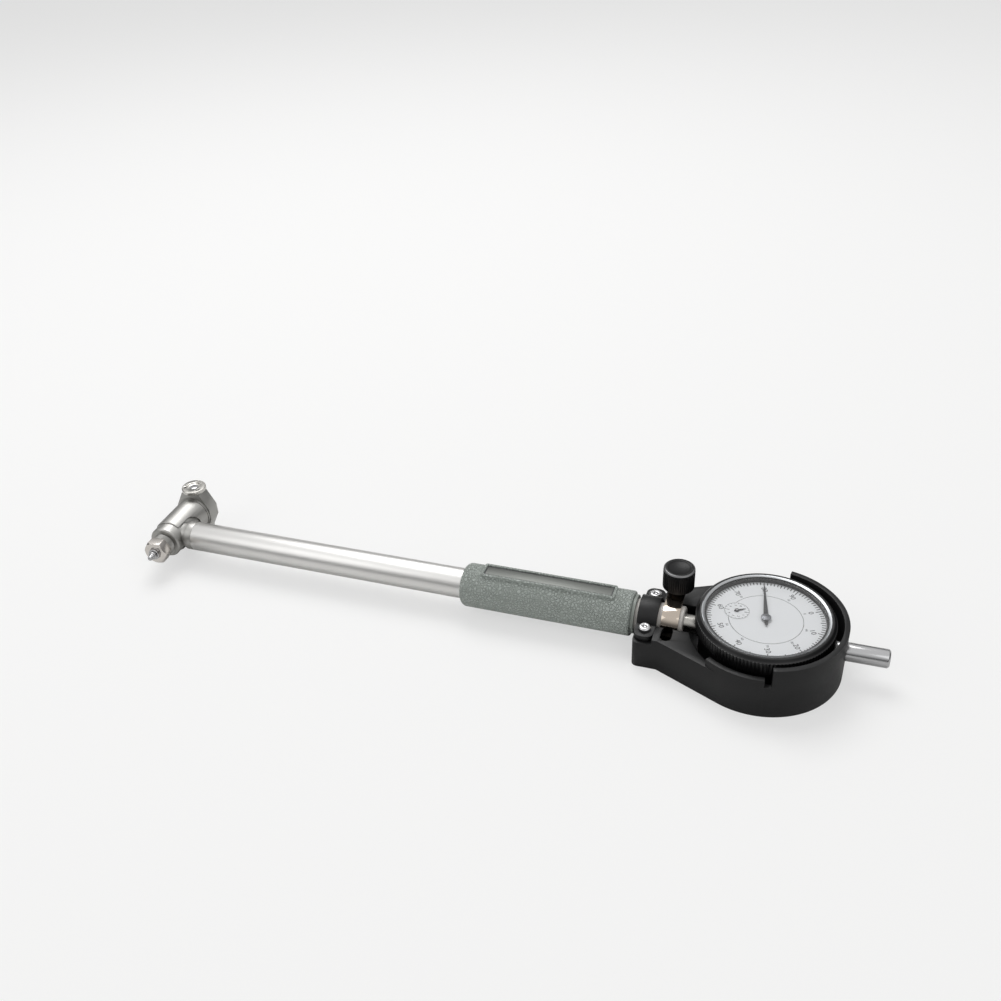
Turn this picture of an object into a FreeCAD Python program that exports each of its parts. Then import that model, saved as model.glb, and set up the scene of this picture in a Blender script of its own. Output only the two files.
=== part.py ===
import FreeCAD
import Part
import math
import os
import re
import Sketcher

# Two-point bore gauge with its dial indicator fitted: a head with a fixed anvil, a sprung
# movable contact and a wheeled centring bridge, a bell crank and push rod in a long tube,
# an insulating grip, and a 0.01 mm dial in a guard. Millimetres, +X from head to dial,
# +Y towards the movable contact, +Z out of the dial. The origin lies on the guard's flat
# back, under the dial's centre.

SIZES = [
    ("axis_height", 13.4, "stem axis above the plane that the gauge lies on"),
    ("reach", 153.5, "measuring axis to the near end of the grip"),
    ("tube_radius", 7.0, "outside of the tube"),
    ("tube_wall", 1.6, "wall of the tube"),
    ("flange_start", 8.9, "measuring axis to the head's flange"),
    ("flange_end", 12.7, "measuring axis to the end of the tube"),
    ("neck_radius", 6.0, "neck between the head and its flange"),
    ("spigot_length", 9.0, "head's spigot inside the tube"),
    ("slide_fit", 0.05, "radial clearance of pieces that slide"),
    ("turn_fit", 0.05, "radial clearance of pieces that turn"),
    ("rest_gap", 0.3, "gap between pieces that touch when they work"),
    ("grip_length", 78.5, "length of the insulating grip"),
    ("grip_radius", 10.0, "outside of the grip"),
    ("grip_round", 2.8, "rounding of the grip's front edge"),
    ("grip_rear_round", 0.9, "rounding of the grip's rear edge"),
    ("label_length", 59.0, "label recess along the grip"),
    ("label_width", 6.4, "label recess across the grip"),
    ("label_start", 10.5, "grip's front end to the label"),
    ("label_border", 1.1, "raised border round the label"),
    ("label_height", 0.45, "border above the crown of the grip"),
    ("label_depth", 0.8, "label recess under the border"),
    ("label_thickness", 0.4, "blank label strip"),
    ("end_ring_length", 1.5, "ring behind the grip"),
    ("end_ring_radius", 8.6, "outside of that ring"),
    ("collar_length", 20.9, "white collar behind the ring"),
    ("collar_radius", 7.0, "outside of the white collar"),
    ("collar_spigot", 12.0, "collar's spigot inside the tube"),
    ("collar_slit", 0.8, "slit that lets the collar close on the bushing"),
    ("collar_gap", 6.6, "end of the collar to the dial case"),
    ("band_end_gap", 1.8, "clamp band to the end of the collar"),
    ("band_width", 7.4, "width of the clamp band"),
    ("band_thickness", 1.0, "sheet of the clamp band"),
    ("ear_reach", 15.8, "stem axis to the tips of the band's ears"),
    ("ear_corner", 2.2, "rounding of the ears' corners"),
    ("clamp_offset", 12.4, "stem axis to the clamp screw"),
    ("clamp_screw_radius", 1.9, "clamp screw"),
    ("clamp_nut_height", 2.0, "nut under the lower ear"),
    ("clamp_nut_radius", 3.6, "nut across its corners, halved"),
    ("knob_radius", 6.9, "clamp knob"),
    ("knob_height", 11.4, "clamp knob from its foot to its top"),
    ("knob_flutes", 48, "grooves round the clamp knob"),
    ("body_radius", 7.9, "barrel of the head"),
    ("body_front", 9.5, "stem axis to the barrel's front face"),
    ("body_back", 12.5, "stem axis to the barrel's rear face"),
    ("nose_radius", 5.0, "threaded nose of the head"),
    ("nose_reach", 16.0, "stem axis to the end of the nose"),
    ("anvil_radius", 2.5, "shank of the fixed anvil"),
    ("anvil_reach", 23.5, "stem axis to the anvil's tip"),
    ("ball_radius", 1.25, "ball on the anvil's tip"),
    ("lock_nut_radius", 6.3, "lock nut across its corners, halved"),
    ("lock_nut_start", 18.4, "stem axis to the lock nut's front face"),
    ("lock_nut_height", 5.4, "lock nut along the measuring axis"),
    ("bush_radius", 3.4, "bush that guides the movable contact"),
    ("contact_radius", 2.0, "shank of the movable contact"),
    ("contact_reach", 28.3, "stem axis to the movable contact's tip"),
    ("contact_stroke", 1.8, "travel of the movable contact"),
    ("contact_chamfer", 0.6, "chamfer at the contact's inner end, clear of the turning crank"),
    ("tip_radius", 1.4, "hard tip of the movable contact"),
    ("crank_arm", 4.0, "each arm of the bell crank"),
    ("crank_pad", 1.2, "rounded end of each arm"),
    ("crank_hub", 1.8, "boss round the crank's pin"),
    ("crank_web", 1.5, "width of the crank's arms"),
    ("crank_thickness", 3.0, "bell crank along its pin"),
    ("pin_radius", 0.75, "crank pin"),
    ("rod_radius", 2.0, "push rod"),
    ("rod_collar_start", 30.0, "measuring axis to the rod's spring collar"),
    ("rod_spring_length", 18.0, "rod spring as fitted"),
    ("guide_length", 6.0, "each rod guide"),
    ("sleeve_radius", 8.5, "centring bridge's sleeve"),
    ("sleeve_front", 4.0, "stem axis to the sleeve's front edge"),
    ("plate_front", 17.6, "stem axis to the bridge plate"),
    ("plate_thickness", 7.0, "bridge plate along the measuring axis"),
    ("plate_half_width", 9.2, "bridge plate at its middle, halved"),
    ("plate_tip_width", 4.9, "bridge plate at the wheels, halved"),
    ("bridge_travel", 4.0, "travel of the centring bridge"),
    ("wheel_radius", 6.0, "guide wheel"),
    ("wheel_width", 2.1, "guide wheel"),
    ("wheel_offset", 21.7, "stem axis to the wheels' axle line"),
    ("wheel_screw_radius", 1.2, "shank of a wheel's shoulder screw"),
    ("preload", 0.83, "dial's travel used up when it is fitted"),
    ("tip_length", 42.3, "dial case to its free contact point"),
    ("case_radius", 27.0, "dial case"),
    ("case_wall", 1.8, "wall of the dial case"),
    ("case_bottom", 2.9, "guard's back to the case's back cover"),
    ("case_cover", 1.6, "back cover of the case"),
    ("case_shoulder", 17.0, "height of the shoulder under the bezel"),
    ("case_step", 0.8, "step in from the case to the rim that the bezel turns on"),
    ("case_top", 21.4, "top of the case's rim"),
    ("bezel_overhang", 2.0, "fluted bezel beyond the case"),
    ("bezel_bottom", 17.7, "height of the bezel's lower edge"),
    ("bezel_top", 25.9, "height of the bezel's top"),
    ("bezel_flutes", 120, "flutes round the bezel"),
    ("flute_depth", 0.35, "depth of a flute"),
    ("bezel_wall", 2.35, "bezel round the bright ring"),
    ("ring_width", 2.15, "bright ring round the visible dial"),
    ("crystal_seat", 0.8, "crystal's seat in the bright ring"),
    ("crystal_bottom", 24.9, "height of the crystal's lower face"),
    ("crystal_thickness", 0.6, "crystal"),
    ("face_top", 23.1, "height of the dial's face"),
    ("face_thickness", 0.8, "dial face"),
    ("inner_dial_radius", 15.4, "fixed inner dial"),
    ("hand_level", 23.9, "height of the main hand"),
    ("hand_angle", 99.0, "direction of the main hand"),
    ("hand_margin", 1.9, "hand's tip to the bright ring"),
    ("hub_radius", 2.1, "hub of the main hand"),
    ("bushing_radius", 4.0, "stem bushing of the dial"),
    ("bushing_length", 20.0, "stem bushing outside the case"),
    ("boss_wall", 0.9, "boss round the bushing"),
    ("spindle_radius", 2.0, "spindle"),
    ("rear_length", 6.0, "dial case to the spindle's rear end"),
    ("cap_radius", 4.0, "cap behind the case"),
    ("cap_length", 24.0, "cap outside the case"),
    ("rack_pitch", 0.625, "tooth pitch of the rack"),
    ("rack_teeth", 20, "teeth of the rack"),
    ("pinion_teeth", 16, "rack pinion"),
    ("gear_teeth", 100, "large gears"),
    ("centre_teeth", 10, "centre pinion"),
    ("train_room", 3.136, "outside of the case to the nearest gear"),
    ("arbor_offset", 2.1, "rack pinion's axis beside the spindle's axis"),
    ("gear_level", 17.2, "height of the large gears"),
    ("gear_thickness", 0.7, "large gears"),
    ("tooth_gap", 0.03, "gap left between meshing teeth"),
    ("arbor_radius", 0.5, "arbors of the train"),
    ("pivot_radius", 0.6, "pivot holes for the arbors"),
    ("plate_sheet", 0.8, "movement plates"),
    ("plate_rise", 2.8, "underside of the large gears to the upper plate"),
    ("pillar_inset", 2.1, "edge of the plates to the pillars"),
    ("pillar_radius", 1.2, "pillars between the plates"),
    ("foot_circle", 15.0, "dial's centre to the feet of the dial face"),
    ("foot_radius", 0.8, "feet of the dial face"),
    ("hairspring_radius", 4.6, "outside of the hairspring"),
    ("hairspring_turns", 4, "turns of the hairspring"),
    ("hairspring_sheet", 0.15, "ribbon of the hairspring"),
    ("hairspring_width", 0.6, "hairspring along its arbor"),
    ("guard_gap", 4.8, "bezel to the outside of the guard"),
    ("guard_wall", 2.0, "wall of the guard"),
    ("guard_base", 2.4, "floor of the guard"),
    ("guard_height", 16.0, "guard's wall beside the stem"),
    ("rim_height", 25.0, "guard's high rim"),
    ("low_rim_height", 19.5, "guard's low rims"),
    ("rim_half_angle", 78.0, "half of the arc that the high rim spans"),
    ("neck_half", 18.0, "guard's neck, half its width"),
    ("neck_length", 15.0, "dial case to the guard's neck"),
    ("guard_length", 26.0, "dial case to the guard's end"),
    ("saddle_length", 17.4, "dial case to the saddle"),
    ("roof_thickness", 1.8, "roof over the guard's side pockets"),
    ("channel_half", 8.9, "channel for the clamp band, half its width"),
    ("strap_width", 8.5, "guard strap"),
    ("strap_thickness", 2.2, "guard strap over the collar"),
    ("strap_ear", 2.5, "thickness of the strap's ears"),
    ("strap_half", 16.6, "half the length of the strap"),
    ("guard_screw_offset", 11.5, "stem axis to the strap's screws"),
    ("guard_screw_radius", 1.5, "strap's screws"),
    ("guard_head_radius", 2.7, "heads of the strap's screws"),
    ("guard_head_height", 1.7, "heads of the strap's screws"),
]

# Places that follow from the sizes above
PLACES = {
    "tube_bore": "tube_radius - tube_wall",
    "collar_start": "reach + grip_length + end_ring_length",
    "collar_end": "collar_start + collar_length",
    "head_x": "-(collar_end + collar_gap + case_radius)",
    "band_start": "collar_end - band_end_gap - band_width",
    "band_inner": "collar_radius + 0.02",
    "band_outer": "band_inner + band_thickness",
    "clamp_x": "head_x + band_start + band_width / 2",
    "nut_bottom": "axis_height - band_outer - clamp_nut_height",
    "knob_bottom": "axis_height + band_outer + rest_gap",
    "crank_touch": "crank_arm + crank_pad + rest_gap",
    "chamber_end": "crank_arm + crank_hub + 0.6",
    "rod_bore": "rod_radius + slide_fit",
    "tip_x": "preload - case_radius - tip_length",
    "rod_end": "tip_x - rest_gap",
    "spring_start": "rod_collar_start + 2",
    "sleeve_bore": "body_radius + slide_fit",
    "plate_end": "plate_front + plate_thickness",
    "plate_half_height": "axis_height - wheel_width - 0.1",
    "bridge_room": "body_back + bridge_travel + rest_gap",
    "stop_at": "body_back - 3.4",
    "case_floor": "case_bottom + case_cover",
    "case_rim": "case_radius - case_step",
    "plate_radius": "case_rim - 1.3",
    "bezel_radius": "case_radius + bezel_overhang",
    "ring_radius": "bezel_radius - bezel_wall",
    "window_radius": "ring_radius - ring_width",
    "crystal_radius": "window_radius + crystal_seat",
    "hand_reach": "window_radius - hand_margin",
    "bushing_reach": "case_radius + bushing_length",
    "spindle_rear": "case_radius + rear_length",
    "cap_reach": "case_radius + cap_length",
    "arbor_distance": "(case_radius - train_room) * (gear_teeth + centre_teeth) / both_reaches",
    "both_reaches": "2 * gear_teeth + centre_teeth",
    "arbor_x": "-sqrt(arbor_distance ^ 2 - arbor_offset ^ 2)",
    "pinion_radius": "rack_pitch * pinion_teeth / 2 / pi",
    "rack_line": "arbor_offset - pinion_radius",
    "gear_radius": "arbor_distance * gear_teeth / (gear_teeth + centre_teeth)",
    "centre_radius": "arbor_distance - gear_radius",
    "lower_plate": "axis_height + spindle_radius + 0.25",
    "upper_plate": "gear_level + plate_rise",
    "guard_radius": "bezel_radius + guard_gap",
    "neck_start": "case_radius + neck_length",
    "guard_end": "case_radius + guard_length",
    "saddle_start": "case_radius + saddle_length",
    "strap_x": "-(guard_end + saddle_start) / 2",
    "tangent_angle": "atan2(neck_half; -neck_start) - acos(guard_radius / hypot(neck_half; neck_start))",
    "inner_half": "neck_half - guard_wall",
    "inner_round": "guard_radius - guard_wall",
    "inner_angle": "atan2(inner_half; -neck_start) - acos(inner_round / hypot(inner_half; neck_start))",
}

document = FreeCAD.newDocument("bore_gauge")
sheet = document.addObject("Spreadsheet::Sheet", "Sizes")
for row, (name, number, meaning) in enumerate(SIZES, start=1):
    sheet.set("A%d" % row, name)
    sheet.set("B%d" % row, str(number))
    sheet.set("C%d" % row, meaning)
    sheet.setAlias("B%d" % row, name)
document.recompute()

ALIASES = {name for name, number, meaning in SIZES}
NODES = []


def formula(text):
    """Expression over the size sheet, with named places written out."""
    def expand(match):
        word = match.group()
        if word in ALIASES:
            return "Sizes." + word
        if word in PLACES:
            return "(" + formula(PLACES[word]) + ")"
        return word
    return re.sub(r"[a-z][a-z_0-9]*", expand, str(text))


def value(text):
    """Number that a formula stands for."""
    number = sheet.evalExpression(formula(text))
    return float(getattr(number, "Value", number))


def bind(thing, **formulas):
    """Tie properties to the size sheet."""
    for name, text in formulas.items():
        thing.setExpression(name, formula(text))
    return thing


def place(thing, at, turn=None):
    """Tie a position to the size sheet, after a fixed turn."""
    if turn is not None:
        thing.Placement = FreeCAD.Placement(FreeCAD.Vector(), turn)
    for letter, text in zip("xyz", at):
        thing.setExpression("Placement.Base." + letter, formula(text))
    return thing


# Turns that lay a piece's own X axis (revolved) or Z axis (cylinder) along a row axis
REVOLVED = {
    "X": FreeCAD.Rotation(),
    "Y": FreeCAD.Rotation(FreeCAD.Vector(0, 0, 1), 90),
    "Z": FreeCAD.Rotation(FreeCAD.Vector(0, 1, 0), -90),
}
UPRIGHT = {
    "X": FreeCAD.Rotation(FreeCAD.Vector(0, 1, 0), 90),
    "Y": FreeCAD.Rotation(FreeCAD.Vector(1, 0, 0), -90),
    "Z": FreeCAD.Rotation(),
}


def spin(text):
    """Turn about Z by a formula in degrees."""
    return FreeCAD.Rotation(FreeCAD.Vector(0, 0, 1), value(text))


def node(thing, name):
    """Make an object a sub-part with a name of its own."""
    thing.Label = name
    NODES.append(thing)
    return thing


def arc_centre(start, end, radius, side):
    """Centre of an arc from start to end; side is 1 for anticlockwise."""
    middle_x = (start[0] + end[0]) / 2
    middle_y = (start[1] + end[1]) / 2
    span_x = end[0] - start[0]
    span_y = end[1] - start[1]
    span = math.hypot(span_x, span_y)
    rise = math.sqrt(max(radius * radius - span * span / 4, 0.0))
    return middle_x - side * rise * span_y / span, middle_y + side * rise * span_x / span


def outline(body, role, corners):
    """Closed sketch on one of the body's own planes.

    A corner is (x, y), reached by a line, or (x, y, radius, side), reached by an arc.
    Every corner and radius is tied to the size sheet.
    """
    sketch = body.newObject("Sketcher::SketchObject", body.Name + "_outline")
    plane = [item for item in body.Origin.OriginFeatures if item.Role == role][0]
    sketch.AttachmentSupport = (plane, [""])
    sketch.MapMode = "FlatFace"
    spots = [(value(corner[0]), value(corner[1])) for corner in corners]
    count = len(corners)
    for index, corner in enumerate(corners):
        start = spots[index - 1]
        end = spots[index]
        if len(corner) == 2:
            first = FreeCAD.Vector(start[0], start[1], 0)
            last = FreeCAD.Vector(end[0], end[1], 0)
            sketch.addGeometry(Part.LineSegment(first, last))
            continue
        radius = value(corner[2])
        centre = arc_centre(start, end, radius, corner[3])
        angles = [math.atan2(spot[1] - centre[1], spot[0] - centre[0]) for spot in (start, end)]
        if corner[3] < 0:
            angles.reverse()
        while angles[1] < angles[0]:
            angles[1] += 2 * math.pi
        circle = Part.Circle(FreeCAD.Vector(centre[0], centre[1], 0), FreeCAD.Vector(0, 0, 1), radius)
        sketch.addGeometry(Part.ArcOfCircle(circle, angles[0], angles[1]))
    ends = []
    for corner in corners:
        clockwise = len(corner) == 4 and corner[3] < 0
        ends.append((2, 1) if clockwise else (1, 2))
    for index in range(count):
        after = (index + 1) % count
        sketch.addConstraint(Sketcher.Constraint("Coincident", index, ends[index][1], after, ends[after][0]))
    for index, corner in enumerate(corners):
        for kind, text, number in zip(("DistanceX", "DistanceY"), corner[:2], spots[index]):
            tie = sketch.addConstraint(Sketcher.Constraint(kind, -1, 1, index, ends[index][1], number))
            sketch.setExpression("Constraints[%d]" % tie, formula(text))
        if len(corner) == 4:
            tie = sketch.addConstraint(Sketcher.Constraint("Radius", index, value(corner[2])))
            sketch.setExpression("Constraints[%d]" % tie, formula(corner[2]))
    return sketch


def turned(name, along, at, corners):
    """Body revolved about a row axis; corners are (distance along the axis, radius)."""
    body = document.addObject("PartDesign::Body", name)
    sketch = outline(body, "XY_Plane", corners)
    turn = body.newObject("PartDesign::Revolution", name + "_turn")
    turn.Profile = sketch
    turn.ReferenceAxis = (sketch, ["H_Axis"])
    turn.Angle = 360
    sketch.Visibility = False
    return place(body, at, REVOLVED[along])


def padded(name, role, at, corners, length, turn=None):
    """Body of a closed outline with a straight height."""
    body = document.addObject("PartDesign::Body", name)
    sketch = outline(body, role, corners)
    pad = body.newObject("PartDesign::Pad", name + "_pad")
    pad.Profile = sketch
    bind(pad, Length=length)
    return place(body, at, turn)


def ring(name, along, at, start, end, outer, inner):
    """Plain turned tube between two stations."""
    corners = [(start, inner), (start, outer), (end, outer), (end, inner)]
    return turned(name, along, at, corners)


def cylinder(name, along, at, radius, height):
    """Round bar that starts at a point and runs along a row axis."""
    bar = document.addObject("Part::Cylinder", name)
    bind(bar, Radius=radius, Height=height)
    return place(bar, at, UPRIGHT[along])


def box(name, at, length, width, height, turn=None):
    """Block whose lowest corner is at a point."""
    block = document.addObject("Part::Box", name)
    bind(block, Length=length, Width=width, Height=height)
    return place(block, at, turn)


def hexagon(name, along, at, radius, height):
    """Six-sided bar that starts at a point."""
    bar = document.addObject("Part::Prism", name)
    bar.Polygon = 6
    bind(bar, Circumradius=radius, Height=height)
    return place(bar, at, UPRIGHT[along])


def fuse(name, pieces):
    """One solid from several."""
    joined = document.addObject("Part::MultiFuse", name)
    joined.Shapes = pieces
    joined.Refine = True
    return joined


def cut(name, base, tools):
    """A solid less its tools."""
    tool = tools[0]
    if len(tools) > 1:
        tool = fuse(name + "_tools", tools)
    less = document.addObject("Part::Cut", name)
    less.Base = base
    less.Tool = tool
    less.Refine = True
    return less


def rounded(name, base, radius, wanted):
    """Fillet on the edges that a test picks."""
    document.recompute()
    picks = [index for index, edge in enumerate(base.Shape.Edges, start=1) if wanted(edge)]
    fillet = document.addObject("Part::Fillet", name)
    fillet.Base = base
    fillet.Edges = [(index, value(radius), value(radius)) for index in picks]
    return fillet


def toothed(name, at, teeth, tip, root, thickness, bore):
    """Disc with straight-sided teeth, drawn tooth by tooth."""
    count = int(round(value(teeth)))
    corners = []
    for index in range(count):
        for share, radius in ((0.0, value(tip)), (0.5, value(root))):
            angle = 2 * math.pi * (index + share) / count
            corners.append(FreeCAD.Vector(radius * math.cos(angle), radius * math.sin(angle), 0))
    corners.append(corners[0])
    disc = Part.Face(Part.makePolygon(corners)).extrude(FreeCAD.Vector(0, 0, value(thickness)))
    if value(bore) > 0:
        disc = disc.cut(Part.makeCylinder(value(bore), value(thickness)))
    feature = document.addObject("Part::Feature", name)
    feature.Shape = disc
    return place(feature, at)


def coil(name, along, at, radius, wire, length, turns):
    """Helical spring of six-sided wire, lofted from section to section."""
    radius, wire, length = value(radius), value(wire), value(length)
    slope = math.atan2(length / turns, 2 * math.pi * radius)
    steps = 12 * turns
    sections = []
    for step in range(steps + 1):
        angle = 2 * math.pi * turns * step / steps
        radial = FreeCAD.Vector(math.cos(angle), math.sin(angle), 0)
        across = FreeCAD.Vector(
            math.sin(slope) * math.sin(angle),
            -math.sin(slope) * math.cos(angle),
            math.cos(slope),
        )
        centre = radial * radius + FreeCAD.Vector(0, 0, length * step / steps)
        corners = []
        for side in range(6):
            around = math.pi * side / 3
            corners.append(centre + radial * (wire * math.cos(around)) + across * (wire * math.sin(around)))
        sections.append(Part.makePolygon(corners + corners[:1]))
    spring = document.addObject("Part::Feature", name)
    spring.Shape = Part.makeLoft(sections, True, True)
    return place(spring, at, UPRIGHT[along])


STEM = ("head_x", 0, "axis_height")
DIAL_AXIS = (0, 0, "axis_height")
CENTRE = (0, 0, 0)

# Directions of the pillars between the movement plates, clear of both large gears
PILLAR_ANGLES = (90, 215, 340)
# Straight sides in one turn of the hairspring
SPIRAL_STEPS = 24


def make_tube():
    """Tube, rod guides, push rod and its spring."""
    tube = ring("tube", "X", STEM, "flange_end", "collar_start", "tube_radius", "tube_bore")
    node(tube, "tube")
    guides = [
        ("rod_guide_front", "flange_end + 2", "rod_radius + 1.2"),
        ("rod_guide_middle", "spring_start + rod_spring_length", "tube_bore - 0.02"),
        ("rod_guide_rear", "collar_start - collar_spigot - 2 * guide_length", "tube_bore - 0.02"),
    ]
    for name, start, outer in guides:
        bush = ring(name, "X", STEM, start, start + " + guide_length", outer, "rod_bore")
        node(bush, name)
    rod = turned("push_rod", "X", STEM, [
        ("crank_touch", 0),
        ("crank_touch", "rod_radius - 0.4"),
        ("crank_touch + 0.4", "rod_radius"),
        ("rod_end - head_x - 0.4", "rod_radius"),
        ("rod_end - head_x", "rod_radius - 0.4"),
        ("rod_end - head_x", 0),
    ])
    node(rod, "push_rod")
    collar = ring("rod_collar", "X", STEM, "rod_collar_start", "spring_start",
                  "tube_bore - 0.8", "rod_radius")
    node(collar, "rod_collar")
    spring_at = ("head_x + spring_start + 0.5", 0, "axis_height")
    spring = coil("rod_spring", "X", spring_at, "rod_radius + 1.2", 0.4, "rod_spring_length - 1", 7)
    node(spring, "rod_spring")


def make_grip():
    """Grip with its label place, end ring and the split white collar."""
    end = "reach + grip_length"
    sleeve = turned("grip_sleeve", "X", STEM, [
        ("reach", "tube_radius"),
        ("reach", "grip_radius - grip_round"),
        ("reach + grip_round", "grip_radius", "grip_round", -1),
        (end + " - grip_rear_round", "grip_radius"),
        (end, "grip_radius - grip_rear_round", "grip_rear_round", -1),
        (end, "tube_radius"),
    ])
    frame_at = (
        "head_x + reach + label_start - label_border",
        "-label_width / 2 - label_border",
        "axis_height + tube_radius + 0.4",
    )
    frame = box("label_frame", frame_at, "label_length + 2 * label_border",
                "label_width + 2 * label_border", "grip_radius + label_height - tube_radius - 0.4")
    frame = rounded("label_frame_round", frame, "label_border", lambda edge: is_upright(edge))
    recess_at = (
        "head_x + reach + label_start",
        "-label_width / 2",
        "axis_height + grip_radius + label_height - label_depth",
    )
    recess = box("label_recess", recess_at, "label_length", "label_width", "label_depth + 1")
    grip = cut("grip", fuse("grip_blank", [sleeve, frame]), [recess])
    node(grip, "grip")
    label = box("label_strip", recess_at, "label_length", "label_width", "label_thickness")
    node(label, "label_strip")
    end_ring = ring("grip_end_ring", "X", STEM, end, "collar_start", "end_ring_radius", "tube_radius")
    node(end_ring, "grip_end_ring")
    front = "collar_start - collar_spigot"
    blank = turned("collar_blank", "X", STEM, [
        (front, "bushing_radius + 0.05"),
        (front, "tube_bore - 0.02"),
        ("collar_start", "tube_bore - 0.02"),
        ("collar_start", "collar_radius"),
        ("collar_end - 0.5", "collar_radius"),
        ("collar_end", "collar_radius - 0.5"),
        ("collar_end", "bushing_radius + 0.05"),
    ])
    slit_at = ("head_x + collar_start + 7", "-collar_radius - 1", "axis_height - collar_slit / 2")
    slit = box("collar_slit_tool", slit_at, "collar_length", "collar_radius + 1", "collar_slit")
    node(cut("insulating_collar", blank, [slit]), "insulating_collar")


def is_upright(edge):
    """True for a straight edge along Z."""
    if not isinstance(edge.Curve, Part.Line):
        return False
    return abs(edge.Curve.Direction.z) > 0.999


def make_clamp():
    """Band with two flat ears round the collar, closed by a knob on a screw."""
    at = ("head_x + band_start", 0, "axis_height")
    strip = padded("clamp_strip", "YZ_Plane", at, [
        (0, "band_outer"),
        ("-band_outer", 0, "band_outer", 1),
        (0, "-band_outer", "band_outer", 1),
        ("ear_reach", "-band_outer"),
        ("ear_reach", "-band_inner"),
        (0, "-band_inner"),
        ("-band_inner", 0, "band_inner", -1),
        (0, "band_inner", "band_inner", -1),
        ("ear_reach", "band_inner"),
        ("ear_reach", "band_outer"),
    ], "band_width")

    def at_ear_tip(edge):
        return is_upright(edge) and edge.BoundBox.YMin > value("ear_reach") - 0.01

    tipped = rounded("clamp_strip_round", strip, "ear_corner", at_ear_tip)
    hole_at = ("clamp_x", "clamp_offset", "nut_bottom")
    hole = cylinder("clamp_hole", "Z", hole_at, "clamp_screw_radius + turn_fit", "2 * axis_height")
    node(cut("clamp_band", tipped, [hole]), "clamp_band")
    nut = hexagon("clamp_nut_blank", "Z", hole_at, "clamp_nut_radius", "clamp_nut_height")
    nut_hole = cylinder("clamp_nut_hole", "Z", hole_at, "clamp_screw_radius + turn_fit", "clamp_nut_height")
    node(cut("clamp_nut", nut, [nut_hole]), "clamp_nut")
    screw_top = "knob_bottom + knob_height - 3"
    screw = turned("clamp_screw", "Z", ("clamp_x", "clamp_offset", 0), [
        ("nut_bottom", 0),
        ("nut_bottom", "clamp_screw_radius - 0.4"),
        ("nut_bottom + 0.4", "clamp_screw_radius"),
        (screw_top, "clamp_screw_radius"),
        (screw_top, 0),
    ])
    node(screw, "clamp_screw")
    knob_at = ("clamp_x", "clamp_offset", "knob_bottom")
    fluted = toothed("knob_flutes_blank", knob_at, "knob_flutes", "knob_radius", "knob_radius - 0.3",
                     "knob_height - 2.6", 0)
    fluted.setExpression("Placement.Base.z", formula("knob_bottom + 1.4"))
    core = turned("knob_core", "Z", knob_at, [
        (0, 0),
        (0, "knob_radius - 2.2"),
        (1.4, "knob_radius - 0.9"),
        (1.9, "knob_radius - 0.6"),
        ("knob_height - 1.6", "knob_radius - 0.6"),
        ("knob_height - 1.2", "knob_radius - 0.1"),
        ("knob_height - 0.5", "knob_radius - 0.1"),
        ("knob_height", "knob_radius - 0.8"),
        ("knob_height", "knob_radius - 1.8"),
        ("knob_height - 0.4", "knob_radius - 2.4"),
        ("knob_height - 0.4", 0),
    ])
    screw_room = cylinder("knob_bore", "Z", knob_at, "clamp_screw_radius", "knob_height - 3")
    node(cut("clamp_knob", fuse("knob_blank", [core, fluted]), [screw_room]), "clamp_knob")


def make_head():
    """Head body with its nose, barrel, neck and flange, and what it carries."""
    barrel = turned("head_barrel", "Y", STEM, [
        ("-nose_reach", 0),
        ("-nose_reach", "nose_radius - 0.5"),
        ("0.5 - nose_reach", "nose_radius"),
        ("-body_front - 1.2", "nose_radius"),
        ("-body_front - 1.2", "nose_radius - 0.5"),
        ("-body_front", "nose_radius - 0.5"),
        ("-body_front", "body_radius - 0.6"),
        ("0.6 - body_front", "body_radius"),
        ("body_back", "body_radius"),
        ("body_back", 0),
    ])
    neck = turned("head_neck", "X", STEM, [
        (0, 0),
        (0, "neck_radius"),
        ("flange_start", "neck_radius"),
        ("flange_start", "tube_radius - 0.3"),
        ("flange_start + 0.3", "tube_radius"),
        ("flange_end", "tube_radius"),
        ("flange_end", "tube_bore - 0.02"),
        ("flange_end + spigot_length", "tube_bore - 0.02"),
        ("flange_end + spigot_length", 0),
    ])
    nose_at = ("head_x", "-nose_reach", "axis_height")
    anvil_bore = cylinder("anvil_bore", "Y", nose_at, "anvil_radius", "nose_reach - 6")
    bush_at = ("head_x", "crank_arm", "axis_height")
    bush_bore = cylinder("bush_bore", "Y", bush_at, "bush_radius", "body_back")
    chamber_at = ("head_x - contact_radius - 0.4", "-crank_pad - 1.4",
                  "axis_height - crank_thickness / 2 - 0.3")
    chamber = box("crank_chamber", chamber_at, "chamber_end + contact_radius + 0.4",
                  "chamber_end + crank_pad + 1.4", "crank_thickness + 0.6")
    bore_at = ("head_x + crank_arm", 0, "axis_height")
    rod_room = cylinder("rod_room", "X", bore_at, "rod_radius + 1.2", "flange_end + spigot_length")
    pin_at = ("head_x + crank_arm", "crank_arm", "axis_height - body_radius")
    pin_hole = cylinder("pin_hole", "Z", pin_at, "pin_radius", "2 * body_radius")
    groove_at = ("head_x - body_radius - 1", "stop_at - bridge_travel - 1.2", "axis_height - 1")
    groove = box("stop_groove", groove_at, 2.3, "bridge_travel + 2.4", 2)
    tools = [anvil_bore, bush_bore, chamber, rod_room, pin_hole, groove]
    node(cut("head_body", fuse("head_blank", [barrel, neck]), tools), "head_body")
    make_anvil()
    make_contact()


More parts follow.
